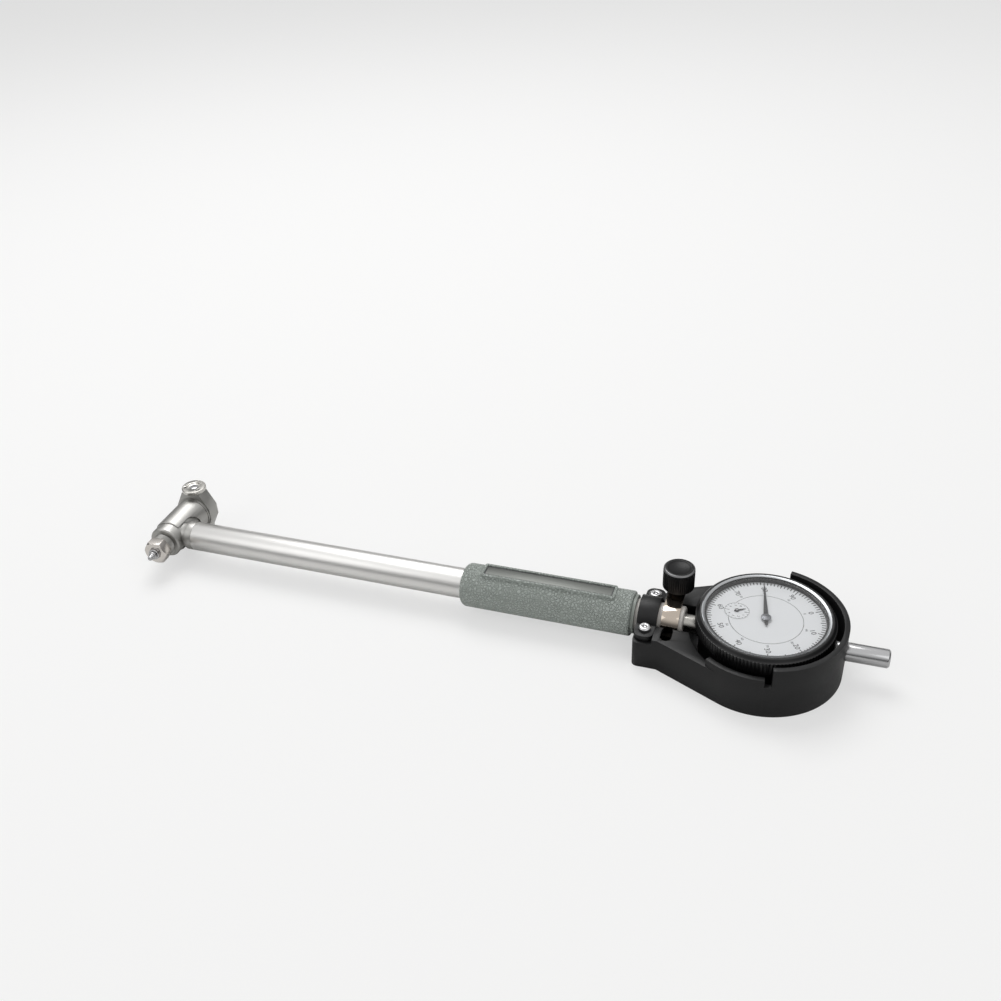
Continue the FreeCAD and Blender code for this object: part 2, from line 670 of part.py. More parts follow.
def make_anvil():
    """Fixed anvil with a ball tip, held by a hexagonal lock nut."""
    tip = "-anvil_reach"
    anvil = turned("anvil", "Y", STEM, [
        (tip, 0),
        (tip + " + ball_radius", "ball_radius", "ball_radius", -1),
        (tip + " + ball_radius + 0.5", "ball_radius"),
        (tip + " + 2.3", 1.6),
        (tip + " + 2.9", 1.6),
        (tip + " + 2.9", 2.1),
        (tip + " + 3.7", 2.1),
        (tip + " + 3.7", 1.75),
        (tip + " + 4.1", 1.75),
        (tip + " + 4.1", "anvil_radius + 0.25"),
        ("-lock_nut_start", "anvil_radius + 0.25"),
        ("-lock_nut_start", "anvil_radius"),
        (-6.4, "anvil_radius"),
        (-6, "anvil_radius - 0.4"),
        (-6, 0),
    ])
    node(anvil, "anvil")
    nut_at = ("head_x", "-lock_nut_start", "axis_height")
    flats = hexagon("lock_nut_flats", "Y", nut_at, "lock_nut_radius", "lock_nut_height")
    cone = turned("lock_nut_cone", "Y", nut_at, [
        (0, 0),
        (0, "lock_nut_radius - 0.9"),
        (0.9, "lock_nut_radius"),
        ("lock_nut_height - 0.5", "lock_nut_radius"),
        ("lock_nut_height", "lock_nut_radius - 0.6"),
        ("lock_nut_height", 0),
    ])
    shaped = document.addObject("Part::MultiCommon", "lock_nut_blank")
    shaped.Shapes = [flats, cone]
    front_hole = cylinder("lock_nut_front", "Y", nut_at, "anvil_radius", "lock_nut_height")
    thread_at = ("head_x", "-nose_reach - 0.2", "axis_height")
    thread = cylinder("lock_nut_thread", "Y", thread_at, "nose_radius", "lock_nut_height")
    node(cut("anvil_lock_nut", shaped, [front_hole, thread]), "anvil_lock_nut")


def make_contact():
    """Movable contact in its bush, the bell crank and the crank's pin."""
    bush = ring("contact_bush", "Y", STEM, "chamber_end + 0.1", "body_back",
                "bush_radius", "contact_radius + slide_fit")
    node(bush, "contact_bush")
    shank_end = "contact_reach - 1.7"
    shank = turned("movable_contact", "Y", STEM, [
        ("crank_touch", 0),
        ("crank_touch", "contact_radius - contact_chamfer"),
        ("crank_touch + contact_chamfer", "contact_radius"),
        (shank_end + " - 0.5", "contact_radius"),
        (shank_end, "contact_radius - 0.4"),
        (shank_end, 0),
    ])
    node(shank, "movable_contact")
    dome = "(tip_radius ^ 2 + 0.7 ^ 2) / 1.4"
    tip = turned("contact_tip", "Y", STEM, [
        (shank_end, 0),
        (shank_end, "tip_radius"),
        ("contact_reach - 0.7", "tip_radius"),
        ("contact_reach", 0, dome, -1),
    ])
    node(tip, "contact_tip")
    low = "axis_height - crank_thickness / 2"
    half = "crank_web / 2"
    pivot_at = ("head_x + crank_arm", "crank_arm", low)
    hub = cylinder("crank_hub_blank", "Z", pivot_at, "crank_hub", "crank_thickness")
    pads = [
        cylinder("crank_pad_contact", "Z", ("head_x", "crank_arm", low), "crank_pad", "crank_thickness"),
        cylinder("crank_pad_rod", "Z", ("head_x + crank_arm", 0, low), "crank_pad", "crank_thickness"),
    ]
    arms = [
        box("crank_arm_contact", ("head_x", "crank_arm - " + half, low),
            "crank_arm", "crank_web", "crank_thickness"),
        box("crank_arm_rod", ("head_x + crank_arm - " + half, 0, low),
            "crank_web", "crank_arm", "crank_thickness"),
    ]
    eye = cylinder("crank_eye", "Z", pivot_at, "pin_radius + turn_fit", "crank_thickness")
    node(cut("bell_crank", fuse("crank_blank", [hub] + pads + arms), [eye]), "bell_crank")
    rise = "sqrt(body_radius ^ 2 - (crank_arm + pin_radius) ^ 2) - 0.1"
    pin_at = ("head_x + crank_arm", "crank_arm", "axis_height - (" + rise + ")")
    node(cylinder("crank_pin", "Z", pin_at, "pin_radius", "2 * (" + rise + ")"), "crank_pin")


def make_bridge():
    """Sprung centring bridge: a slotted sleeve, a plate and two guide wheels."""
    lip = "plate_front - 1"
    sleeve = turned("bridge_sleeve", "Y", STEM, [
        ("-sleeve_front", "sleeve_bore"),
        ("-sleeve_front", "sleeve_radius - 0.35"),
        ("0.35 - sleeve_front", "sleeve_radius"),
        (lip, "sleeve_radius"),
        (lip, "sleeve_radius + 0.35"),
        ("plate_front", "sleeve_radius + 0.35"),
        ("plate_front", 0),
        ("bridge_room", 0),
        ("bridge_room", "sleeve_bore"),
    ])
    plate = padded("bridge_plate", "XZ_Plane", ("head_x", "plate_end", "axis_height"), [
        ("-plate_tip_width", "-plate_half_height"),
        ("plate_tip_width", "-plate_half_height"),
        ("plate_half_width", -3),
        ("plate_half_width", 3),
        ("plate_tip_width", "plate_half_height"),
        ("-plate_tip_width", "plate_half_height"),
        ("-plate_half_width", 3),
        ("-plate_half_width", -3),
    ], "plate_thickness")
    hole_at = ("head_x", "plate_front - 4", "axis_height")
    contact_hole = cylinder("bridge_contact_hole", "Y", hole_at, "contact_radius + 0.6",
                            "plate_thickness + 6")
    slot_radius = "(neck_radius + 0.4)"
    slot_at = ("head_x", "bridge_travel", "axis_height")
    slot_end = cylinder("bridge_slot_end", "X", slot_at, slot_radius, "sleeve_radius + 2")
    slot_side = box("bridge_slot_side", ("head_x", "-sleeve_front - 1", "axis_height - " + slot_radius),
                    "sleeve_radius + 2", "bridge_travel + sleeve_front + 1", "2 * " + slot_radius)
    stop_at = ("head_x - sleeve_radius - 1", "stop_at", "axis_height")
    stop_hole = cylinder("bridge_stop_hole", "X", stop_at, 0.9, 3)
    axle_at = ("head_x", "wheel_offset", 0)
    axle_hole = cylinder("bridge_axle_hole", "Z", axle_at, "wheel_screw_radius - 0.2", "2 * axis_height")
    tools = [contact_hole, slot_end, slot_side, stop_hole, axle_hole]
    node(cut("centring_bridge", fuse("bridge_blank", [sleeve, plate]), tools), "centring_bridge")
    stop_start = "-sleeve_radius - 0.2"
    stop = turned("bridge_stop_screw", "X", ("head_x", "stop_at", "axis_height"), [
        (stop_start, 0),
        (stop_start, 0.7),
        ("0.2 + " + stop_start, 0.9),
        ("-body_radius + 0.9", 0.9),
        ("-body_radius + 0.9", 0),
    ])
    node(stop, "bridge_stop_screw")
    spring_at = ("head_x", "body_back + 0.4", "axis_height")
    spring = coil("bridge_spring", "Y", spring_at, "contact_radius + 1.6", 0.35,
                  "bridge_room - body_back - 0.8", 3)
    node(spring, "bridge_spring")
    make_wheels()


def make_wheels():
    """Two guide wheels on shoulder screws at the ends of the bridge."""
    screws = []
    for name, side in (("lower_wheel", -1), ("upper_wheel", 1)):
        face = "axis_height + %d * axis_height" % side
        axle = ("head_x", "wheel_offset", face)
        groove = "wheel_radius - 2.6"
        inner = "-%d * wheel_width" % side
        dish = "-%d * 0.45" % side
        rim = "-%d * 0.35" % side
        wheel = turned(name + "_blank", "Z", axle, [
            (0, "wheel_radius - 0.35"),
            (rim, "wheel_radius"),
            (inner + " - " + rim, "wheel_radius"),
            (inner, "wheel_radius - 0.35"),
            (inner, "wheel_screw_radius + turn_fit"),
            ("-%d * 0.9" % side, "wheel_screw_radius + turn_fit"),
            ("-%d * 0.9" % side, "wheel_screw_radius + 0.9"),
            (dish, "wheel_screw_radius + 0.9"),
            (dish, groove),
            (0, groove),
        ])
        holes = []
        for turn in range(3):
            angle = math.radians(90 + 120 * turn)
            hole_at = (
                "head_x + 4.3 * %.6f" % math.cos(angle),
                "wheel_offset + 4.3 * %.6f" % math.sin(angle),
                "axis_height + %d * (axis_height - wheel_width / 2) - wheel_width" % side,
            )
            holes.append(cylinder("%s_hole_%d" % (name, turn), "Z", hole_at, 0.55, "2 * wheel_width"))
        node(cut(name, wheel, holes), name)
        screws.append(turned(name + "_screw", "Z", axle, [
            ("-%d * 0.3" % side, 0),
            ("-%d * 0.3" % side, "wheel_screw_radius + 0.8"),
            ("-%d * 0.88" % side, "wheel_screw_radius + 0.8"),
            ("-%d * 0.88" % side, "wheel_screw_radius"),
            (inner + " - %d * 0.1" % side, "wheel_screw_radius"),
            (inner + " - %d * 0.1" % side, "wheel_screw_radius - 0.2"),
            (inner + " - %d * 4.6" % side, "wheel_screw_radius - 0.2"),
            (inner + " - %d * 4.6" % side, 0),
        ]))
    group = document.addObject("Part::Compound", "wheel_screws")
    group.Links = screws
    node(group, "wheel_screws")


def make_case():
    """Dial case with its back cover, bushing and cap."""
    cup = turned("case_cup", "Z", CENTRE, [
        ("case_floor", "case_radius - case_wall"),
        ("case_floor", "case_radius - 0.4"),
        ("case_floor + 0.4", "case_radius"),
        ("case_shoulder", "case_radius"),
        ("case_shoulder", "case_rim"),
        ("case_top", "case_rim"),
        ("case_top", "plate_radius + 0.1"),
        ("lower_plate", "plate_radius + 0.1"),
        ("lower_plate", "case_radius - 4"),
        ("lower_plate - 0.8", "case_radius - 4"),
        ("lower_plate - 0.8", "case_radius - case_wall"),
    ])
    boss_radius = "(bushing_radius + boss_wall)"
    bar = cylinder("case_boss_bar", "X", ("-case_radius - 0.6", 0, "axis_height"), boss_radius,
                   "case_radius + 0.5 - plate_radius")
    above = box("case_boss_top", ("-case_radius - 1", "-" + boss_radius + " - 1", "case_shoulder"),
                5, "2 * " + boss_radius + " + 2", boss_radius)
    boss = cut("case_boss", bar, [above])
    seat = cylinder("case_bushing_bore", "X", ("-case_radius - 2", 0, "axis_height"), "bushing_radius", 8)
    rear = cylinder("case_cap_bore", "X", ("case_radius - 6", 0, "axis_height"), "cap_radius", 8)
    node(cut("dial_case", fuse("case_blank", [cup, boss]), [seat, rear]), "dial_case")
    cover = turned("case_back_blank", "Z", CENTRE, [
        ("case_bottom", 0),
        ("case_bottom", "case_radius - 1.6"),
        ("case_bottom + 0.6", "case_radius - 1"),
        ("case_floor", "case_radius - 1"),
        ("case_floor", 0),
    ])
    screws = []
    holes = []
    for turn in range(4):
        angle = math.radians(45 + 90 * turn)
        spot = [
            "(case_radius - 2.6) * %.6f" % math.cos(angle),
            "(case_radius - 2.6) * %.6f" % math.sin(angle),
        ]
        holes.append(cylinder("case_back_hole_%d" % turn, "Z", (spot[0], spot[1], "case_bottom - 1"), 1.1, 4))
        screws.append(cylinder("case_back_screw_%d" % turn, "Z", (spot[0], spot[1], "case_bottom"), 1.1,
                               "case_cover"))
    node(cut("case_back_plate", cover, holes), "case_back")
    group = document.addObject("Part::Compound", "case_back_screws")
    group.Links = screws
    node(group, "case_back_screws")
    bushing = turned("stem_bushing", "X", DIAL_AXIS, [
        ("-bushing_reach", "spindle_radius + slide_fit"),
        ("-bushing_reach", "bushing_radius - 0.4"),
        ("0.4 - bushing_reach", "bushing_radius"),
        ("-plate_radius - 0.1", "bushing_radius"),
        ("-plate_radius - 0.1", "spindle_radius + slide_fit"),
    ])
    node(bushing, "stem_bushing")
    cap = turned("spindle_cap", "X", DIAL_AXIS, [
        ("plate_radius + 0.1", "cap_radius - 1.3"),
        ("plate_radius + 0.1", "cap_radius"),
        ("cap_reach - 0.8", "cap_radius"),
        ("cap_reach", "cap_radius - 0.8"),
        ("cap_reach", 0),
        ("cap_reach - 1.5", 0),
        ("cap_reach - 1.5", "cap_radius - 1.3"),
    ])
    node(cap, "spindle_cap")


def make_spindle():
    """Spindle with its rack, the screwed-in contact point and the return spring."""
    bar = turned("spindle_bar", "X", DIAL_AXIS, [
        ("tip_x + 18", 0),
        ("tip_x + 18", "spindle_radius"),
        ("spindle_rear - 0.4", "spindle_radius"),
        ("spindle_rear", "spindle_radius - 0.4"),
        ("spindle_rear", 0),
    ])
    length = value("rack_pitch * rack_teeth")
    root = value("rack_line - 0.3")
    line = value("rack_line - tooth_gap")
    start = value("arbor_x + preload") - length + 2 * value("rack_pitch")
    corners = [FreeCAD.Vector(start, 4, 0), FreeCAD.Vector(start, root, 0)]
    for tooth in range(int(round(value("rack_teeth")))):
        foot = start + tooth * value("rack_pitch")
        corners.append(FreeCAD.Vector(foot + value("rack_pitch") / 2, line, 0))
        corners.append(FreeCAD.Vector(foot + value("rack_pitch"), root, 0))
    corners.append(FreeCAD.Vector(start + length, 4, 0))
    corners.append(corners[0])
    comb = document.addObject("Part::Feature", "rack_comb")
    comb.Shape = Part.Face(Part.makePolygon(corners)).extrude(FreeCAD.Vector(0, 0, 6))
    place(comb, (0, 0, "axis_height - 3"))
    node(cut("spindle", bar, [comb]), "spindle")
    point = turned("contact_point", "X", DIAL_AXIS, [
        ("tip_x", 0),
        ("tip_x + 0.8", 0.8, 0.8, -1),
        ("tip_x + 7.5", 1.35),
        ("tip_x + 9.5", 1.35),
        ("tip_x + 9.5", 2),
        ("tip_x + 12", 2),
        ("tip_x + 12", 1.6),
        ("tip_x + 18", 1.6),
        ("tip_x + 18", 0),
    ])
    node(point, "contact_point")
    spring = coil("spindle_spring", "X", ("spindle_rear + 0.6", 0, "axis_height"), 1.9, 0.25,
                  "cap_reach - 1.5 - spindle_rear - 1.2", 7)
    node(spring, "spindle_spring")


def make_movement():
    """Movement plates and the gear train between the rack and the hands."""
    lower = cylinder("lower_plate_blank", "Z", (0, 0, "lower_plate"), "plate_radius", "plate_sheet")
    upper = cylinder("upper_plate_blank", "Z", (0, 0, "upper_plate"), "plate_radius", "plate_sheet")
    rack_at = ("arbor_x", "arbor_offset", 0)
    take_up = [
        "arbor_distance * %.6f" % math.cos(math.radians(-50)),
        "arbor_distance * %.6f" % math.sin(math.radians(-50)),
    ]
    take_up_at = (take_up[0], take_up[1], 0)
    rack_hole = cylinder("rack_arbor_hole", "Z", rack_at, "pinion_radius + 0.5", "bezel_top")
    centre_hole = cylinder("centre_hole", "Z", CENTRE, "pivot_radius", "bezel_top")
    take_hole = cylinder("take_up_hole", "Z", take_up_at, "pivot_radius", "bezel_top")
    node(cut("movement_plate", lower, [rack_hole, centre_hole, take_hole]), "movement_plate")
    pillars = []
    for turn, degrees in enumerate(PILLAR_ANGLES):
        across = math.cos(math.radians(degrees))
        along = math.sin(math.radians(degrees))
        pillar_at = ["(plate_radius - pillar_inset) * %.6f" % share for share in (across, along)]
        pillar_at.append("lower_plate + plate_sheet")
        pillars.append(cylinder("pillar_%d" % turn, "Z", pillar_at, "pillar_radius",
                                "upper_plate - lower_plate - plate_sheet"))
        foot_at = ["foot_circle * %.6f" % share for share in (across, along)]
        foot_at.append("upper_plate + plate_sheet")
        pillars.append(cylinder("dial_foot_%d" % turn, "Z", foot_at, "foot_radius",
                                "face_top - face_thickness - upper_plate - plate_sheet"))
    fine_hole = cylinder("rack_arbor_fine_hole", "Z", rack_at, "pivot_radius", "bezel_top")
    centre_top = cylinder("centre_hole_top", "Z", CENTRE, "pivot_radius", "bezel_top")
    take_top = cylinder("take_up_hole_top", "Z", take_up_at, "pivot_radius", "bezel_top")
    bridge = cut("upper_plate_cut", upper, [fine_hole, centre_top, take_top])
    node(fuse("train_bridge", [bridge] + pillars), "train_bridge")

    gear_tip = "gear_radius - tooth_gap / 2"
    pinion_tip = "pinion_radius"
    pinion_low = "axis_height - spindle_radius - 0.2"
    pinion = toothed("rack_pinion_teeth", ("arbor_x", "arbor_offset", pinion_low), "pinion_teeth",
                     pinion_tip, "pinion_radius - 0.28", "2 * spindle_radius + 0.3", 0)
    rack_arbor = cylinder("rack_arbor", "Z", ("arbor_x", "arbor_offset", "case_floor + 0.1"), "arbor_radius",
                          "face_top + 0.65 - case_floor")
    node(fuse("rack_pinion", [pinion, rack_arbor]), "rack_pinion")
    gear = toothed("rack_gear", ("arbor_x", "arbor_offset", "gear_level"), "gear_teeth",
                   gear_tip, gear_tip + " - 0.35", "gear_thickness", "arbor_radius")
    node(gear, "rack_gear")
    centre_teeth = toothed("centre_pinion_teeth", (0, 0, "gear_level - 0.3"), "centre_teeth",
                           "centre_radius - tooth_gap / 2", "centre_radius - 0.35", "gear_thickness + 1.6", 0)
    centre_arbor = cylinder("centre_arbor", "Z", (0, 0, "lower_plate + 0.1"), "arbor_radius",
                            "hand_level + 0.2 - lower_plate - 0.1")
    node(fuse("centre_pinion", [centre_teeth, centre_arbor]), "centre_pinion")
    second = toothed("take_up_gear_teeth", (take_up[0], take_up[1], "gear_level + gear_thickness + 0.2"),
                     "gear_teeth", gear_tip, gear_tip + " - 0.35", "gear_thickness - 0.2", 0)
    second_arbor = cylinder("take_up_arbor", "Z", (take_up[0], take_up[1], "lower_plate"), "arbor_radius",
                            "upper_plate + plate_sheet - lower_plate")
    node(fuse("take_up_gear", [second, second_arbor]), "take_up_gear")
    node(spiral("hairspring_ribbon", (take_up[0], take_up[1], "upper_plate - 0.1 - hairspring_width"),
                "arbor_radius + 0.15", "hairspring_radius", "hairspring_turns", "hairspring_sheet",
                "hairspring_width"), "hairspring")


def spiral(name, at, inner, outer, turns, sheet_thickness, width):
    """Flat ribbon wound round an upright arbor."""
    steps = int(round(value(turns))) * SPIRAL_STEPS
    growth = (value(outer) - value(inner)) / steps
    sides = []
    for offset in (0, value(sheet_thickness)):
        side = []
        for step in range(steps + 1):
            angle = 2 * math.pi * step / SPIRAL_STEPS
            radius = value(inner) + growth * step + offset
            side.append(FreeCAD.Vector(radius * math.cos(angle), radius * math.sin(angle), 0))
        sides.append(side)
    corners = sides[0] + sides[1][::-1]
    corners.append(corners[0])
    feature = document.addObject("Part::Feature", name)
    feature.Shape = Part.Face(Part.makePolygon(corners)).extrude(FreeCAD.Vector(0, 0, value(width)))
    return place(feature, at)


def make_hands():
    """Main hand with its hub, and the small hand of the turn counter."""
    reach = "hand_reach"
    hand = padded("hand_blade", "XY_Plane", (0, 0, "hand_level"), [
        (-4.6, 0.55),
        (-4.6, -0.55),
        (0, -1.1),
        (reach, -0.12),
        (reach, 0.12),
        (0, 1.1),
    ], 0.2, spin("hand_angle"))
    hand_hole = cylinder("hand_hole", "Z", (0, 0, "hand_level"), "arbor_radius", 0.2)
    node(cut("main_hand", hand, [hand_hole]), "main_hand")
    hub = turned("hand_hub", "Z", (0, 0, "hand_level + 0.2"), [
        (0, 0),
        (0, "hub_radius"),
        (0.25, "hub_radius"),
        (0.45, "hub_radius - 0.5"),
        (0.45, 0.7),
        (0.6, 0.5),
        (0.6, 0),
    ])
    node(hub, "hand_hub")
    counter_turn = spin("360 * preload / (rack_pitch * pinion_teeth)")
    small = padded("small_blade", "XY_Plane", ("arbor_x", "arbor_offset", "face_top + 0.3"), [
        (-1.2, 0.3),
        (-1.2, -0.3),
        (0, -0.4),
        (3.4, -0.1),
        (3.4, 0.1),
        (0, 0.4),
    ], 0.2, counter_turn)
    boss = cylinder("small_boss", "Z", ("arbor_x", "arbor_offset", "face_top + 0.3"), 0.9, 0.35)
    hole = cylinder("small_hole", "Z", ("arbor_x", "arbor_offset", "face_top"), 0.5, 1)
    node(cut("small_hand", fuse("small_hand_blank", [small, boss]), [hole]), "small_hand")


def make_bezel():
    """Fluted bezel that carries the scale ring, the bright ring and the crystal."""
    band = toothed("bezel_flutes_blank", (0, 0, "bezel_bottom + 0.8"), "bezel_flutes",
                   "bezel_radius", "bezel_radius - flute_depth", "bezel_top - bezel_bottom - 2.6", 0)
    core = turned("bezel_core", "Z", CENTRE, [
        ("bezel_bottom", "case_rim + turn_fit"),
        ("bezel_bottom", "bezel_radius - 1.2"),
        ("bezel_bottom + 0.8", "bezel_radius - flute_depth"),
        ("bezel_top - 1.8", "bezel_radius - flute_depth"),
        ("bezel_top - 1.3", "bezel_radius - 0.9"),
        ("bezel_top - 0.4", "bezel_radius - 1.2"),
        ("bezel_top", "bezel_radius - 1.6"),
        ("bezel_top", "ring_radius"),
        ("face_top", "ring_radius"),
        ("face_top", "case_rim + turn_fit"),
    ])
    bore = cylinder("bezel_bore", "Z", (0, 0, "bezel_bottom - 1"), "case_rim + turn_fit", "bezel_top")
    upper_at = (0, 0, "face_top")
    upper = cylinder("bezel_upper_bore", "Z", upper_at, "ring_radius", "bezel_top")
    shell = cut("bezel_band", band, [bore, upper])
    node(fuse("bezel", [core, shell]), "bezel")
    bright = turned("bezel_ring", "Z", CENTRE, [
        ("face_top", "window_radius"),
        ("face_top", "ring_radius"),
        ("bezel_top", "ring_radius"),
        ("bezel_top", "ring_radius - 0.25"),
        ("crystal_bottom + crystal_thickness", "crystal_radius"),
        ("crystal_bottom", "crystal_radius"),
        ("crystal_bottom", "window_radius"),
    ])
    node(bright, "bezel_ring")
    pane = cylinder("crystal", "Z", (0, 0, "crystal_bottom"), "crystal_radius", "crystal_thickness")
    node(pane, "crystal")
    low = "face_top - face_thickness"
    scale = ring("scale_ring", "Z", CENTRE, low, "face_top", "case_rim", "inner_dial_radius + 0.1")
    node(scale, "scale_ring")
    disc = cylinder("inner_dial_blank", "Z", (0, 0, low), "inner_dial_radius", "face_thickness")
    centre_hole = cylinder("inner_dial_centre", "Z", CENTRE, 0.8, "bezel_top")
    small_hole = cylinder("inner_dial_counter", "Z", ("arbor_x", "arbor_offset", 0), 0.8, "bezel_top")
    node(cut("inner_dial", disc, [centre_hole, small_hole]), "inner_dial")


def make_guard():
    """Guard moulding round the dial, with rims, side pockets and a saddle for the strap."""
    circle_x = "guard_radius * cos(tangent_angle)"
    circle_y = "guard_radius * sin(tangent_angle)"
    shell = padded("guard_shell", "XY_Plane", CENTRE, [
        (circle_x, "-" + circle_y),
        ("guard_radius", 0, "guard_radius", 1),
        (circle_x, circle_y, "guard_radius", 1),
        ("-neck_start", "neck_half"),
        ("2.5 - guard_end", "neck_half"),
        ("-guard_end", "neck_half - 2.5", 2.5, 1),
        ("-guard_end", "2.5 - neck_half"),
        ("2.5 - guard_end", "-neck_half", 2.5, 1),
        ("-neck_start", "-neck_half"),
    ], "guard_height")
    inner_x = "inner_round * cos(inner_angle)"
    inner_y = "inner_round * sin(inner_angle)"
    pocket = padded("guard_pocket", "XY_Plane", (0, 0, "guard_base"), [
        ("-saddle_start", "-inner_half"),
        ("-neck_start", "-inner_half"),
        (inner_x, "-" + inner_y),
        (inner_x, inner_y),
        ("-neck_start", "inner_half"),
        ("-saddle_start", "inner_half"),
    ], "guard_height - guard_base - roof_thickness")
    well_radius = "guard_radius - guard_wall - 0.2"
    well = cylinder("guard_well", "Z", (0, 0, "guard_base"), well_radius, "rim_height")
    channel = box("guard_channel", ("-saddle_start", "-channel_half", "guard_base"),
                  "saddle_start", "2 * channel_half", "rim_height")
    notch = box("guard_notch", ("-guard_end - 1", "-neck_half - 1", "axis_height - 0.2"),
                "guard_end - saddle_start + 1", "2 * neck_half + 2", "rim_height")
    cradle = cylinder("guard_cradle", "X", ("-guard_end - 1", 0, "axis_height"), "collar_radius + 0.05",
                      "guard_end - saddle_start + 2")
    tools = [pocket, well, channel, notch, cradle]
    for side in (-1, 1):
        tag = "near" if side < 0 else "far"
        slot_y = "%d * clamp_offset" % side
        slot_at = ("clamp_x - 2.4", slot_y + " - 2", "guard_height - 4")
        tools.append(box("guard_slot_" + tag, slot_at, 4.8, 4, 6))
        for end in (-1, 1):
            spot = ("clamp_x", slot_y + " + %d" % (2 * end), "guard_height - 4")
            tools.append(cylinder("guard_slot_%s_%d" % (tag, end + 1), "Z", spot, 2.4, 6))
        tools.append(cylinder("guard_nut_room_" + tag, "Z", ("clamp_x", slot_y, "guard_base"),
                              "clamp_nut_radius + rest_gap",
                              "guard_height - guard_base - roof_thickness"))
        tools.append(cylinder("guard_screw_hole_" + tag, "Z",
                              ("strap_x", "%d * guard_screw_offset" % side, "guard_base + 1.5"),
                              "guard_screw_radius", "axis_height"))
    base = cut("guard_lower", shell, tools)
    rims = [("guard_rim_high", "rim_height", "-rim_half_angle", "2 * rim_half_angle")]
    rims.append(("guard_rim_near", "low_rim_height", "-127", "44"))
    rims.append(("guard_rim_far", "low_rim_height", "83", "44"))
    pieces = [base]
    for name, top, start, span in rims:
        pie = document.addObject("Part::Cylinder", name + "_pie")
        height = top + " - guard_height + 2"
        bind(pie, Radius="guard_radius", Height=height, Angle=span)
        place(pie, (0, 0, "guard_height - 2"), spin(start))
        core = cylinder(name + "_core", "Z", (0, 0, "guard_height - 3"), well_radius, "rim_height")
        pieces.append(cut(name, pie, [core]))
    cap_at = ("case_radius", 0, "axis_height")
    cap_hole = cylinder("guard_cap_hole", "X", cap_at, "cap_radius + 0.6", "guard_radius")
    node(cut("guard_plate", fuse("guard_whole", pieces), [cap_hole]), "guard_plate")
    make_strap()


def make_strap():
    """Strap over the collar and its two screws."""
    inner = "collar_radius + 0.05"
    outer = "collar_radius + strap_thickness"
    gap = "0.1"
    inner_foot = "sqrt((" + inner + ") ^ 2 - " + gap + " ^ 2)"
    ear_top = "(" + gap + " + strap_ear)"
    outer_foot = "sqrt((" + outer + ") ^ 2 - " + ear_top + " ^ 2)"
    arch = padded("strap_arch", "YZ_Plane", ("strap_x - strap_width / 2", 0, "axis_height"), [
        ("-strap_half", gap),
        ("-" + inner_foot, gap),
        (0, inner, inner, -1),
        (inner_foot, gap, inner, -1),
        ("strap_half", gap),
        ("strap_half", ear_top),
        (outer_foot, ear_top),
        (0, outer, outer, 1),
        ("-" + outer_foot, ear_top, outer, 1),
        ("-strap_half", ear_top),
    ], "strap_width")

    def at_end(edge):
        return is_upright(edge) and abs(abs(edge.BoundBox.Center.y) - value("strap_half")) < 0.01

    ended = rounded("strap_round", arch, 3.4, at_end)
    holes = []
    screws = []
    for side in (-1, 1):
        tag = "near" if side < 0 else "far"
        spot = ("strap_x", "%d * guard_screw_offset" % side, 0)
        holes.append(cylinder("strap_hole_" + tag, "Z", spot, "guard_screw_radius", "2 * axis_height"))
        seat = "axis_height + " + ear_top
        shank = "guard_screw_radius"
        head = "guard_head_radius"
        crown = "((guard_head_radius - 0.6) ^ 2 + 0.5 ^ 2)"
        screws.append(turned("guard_screw_" + tag, "Z", spot, [
            ("guard_base + 2", 0),
            ("guard_base + 2", shank),
            (seat, shank),
            (seat, head),
            (seat + " + guard_head_height - 0.5", head),
            (seat + " + guard_head_height", head + " - 0.6"),
            (seat + " + guard_head_height", 0.9),
            (seat + " + guard_head_height - 0.7", 0.6),
            (seat + " + guard_head_height - 0.7", 0),
        ]))
    node(cut("guard_strap", ended, holes), "guard_strap")
    group = document.addObject("Part::Compound", "guard_screws")
    group.Links = screws
    node(group, "guard_screws")


def check():
    """Stop on a failed feature or a bad shape."""
    document.recompute()
    for thing in document.Objects:
        if "Invalid" in thing.State or "Error" in thing.State:
            raise RuntimeError("failed feature: " + thing.Name)
    for thing in NODES:
        if thing.Shape.isNull() or not thing.Shape.isValid():
            raise RuntimeError("bad shape: " + thing.Label)
        if not thing.Shape.Solids:
            raise RuntimeError("no solid: " + thing.Label)


def write():
    """One STEP file for each sub-part."""
    os.makedirs("parts", exist_ok=True)
    for thing in NODES:
        thing.Shape.exportStep("parts/" + thing.Label + ".step")


make_tube()
make_grip()
make_clamp()
make_head()
make_bridge()
make_case()
make_spindle()
make_movement()
make_hands()
make_bezel()
make_guard()
check()
write()
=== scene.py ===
import logging
import math
from dataclasses import dataclass, field
from enum import Enum
from typing import Any, Callable, Iterable, Optional, Sequence

import bmesh
import bpy
from bpy.types import Material, MeshPolygon, Node, NodeSocket, NodeTree, Object
from mathutils import Matrix, Vector


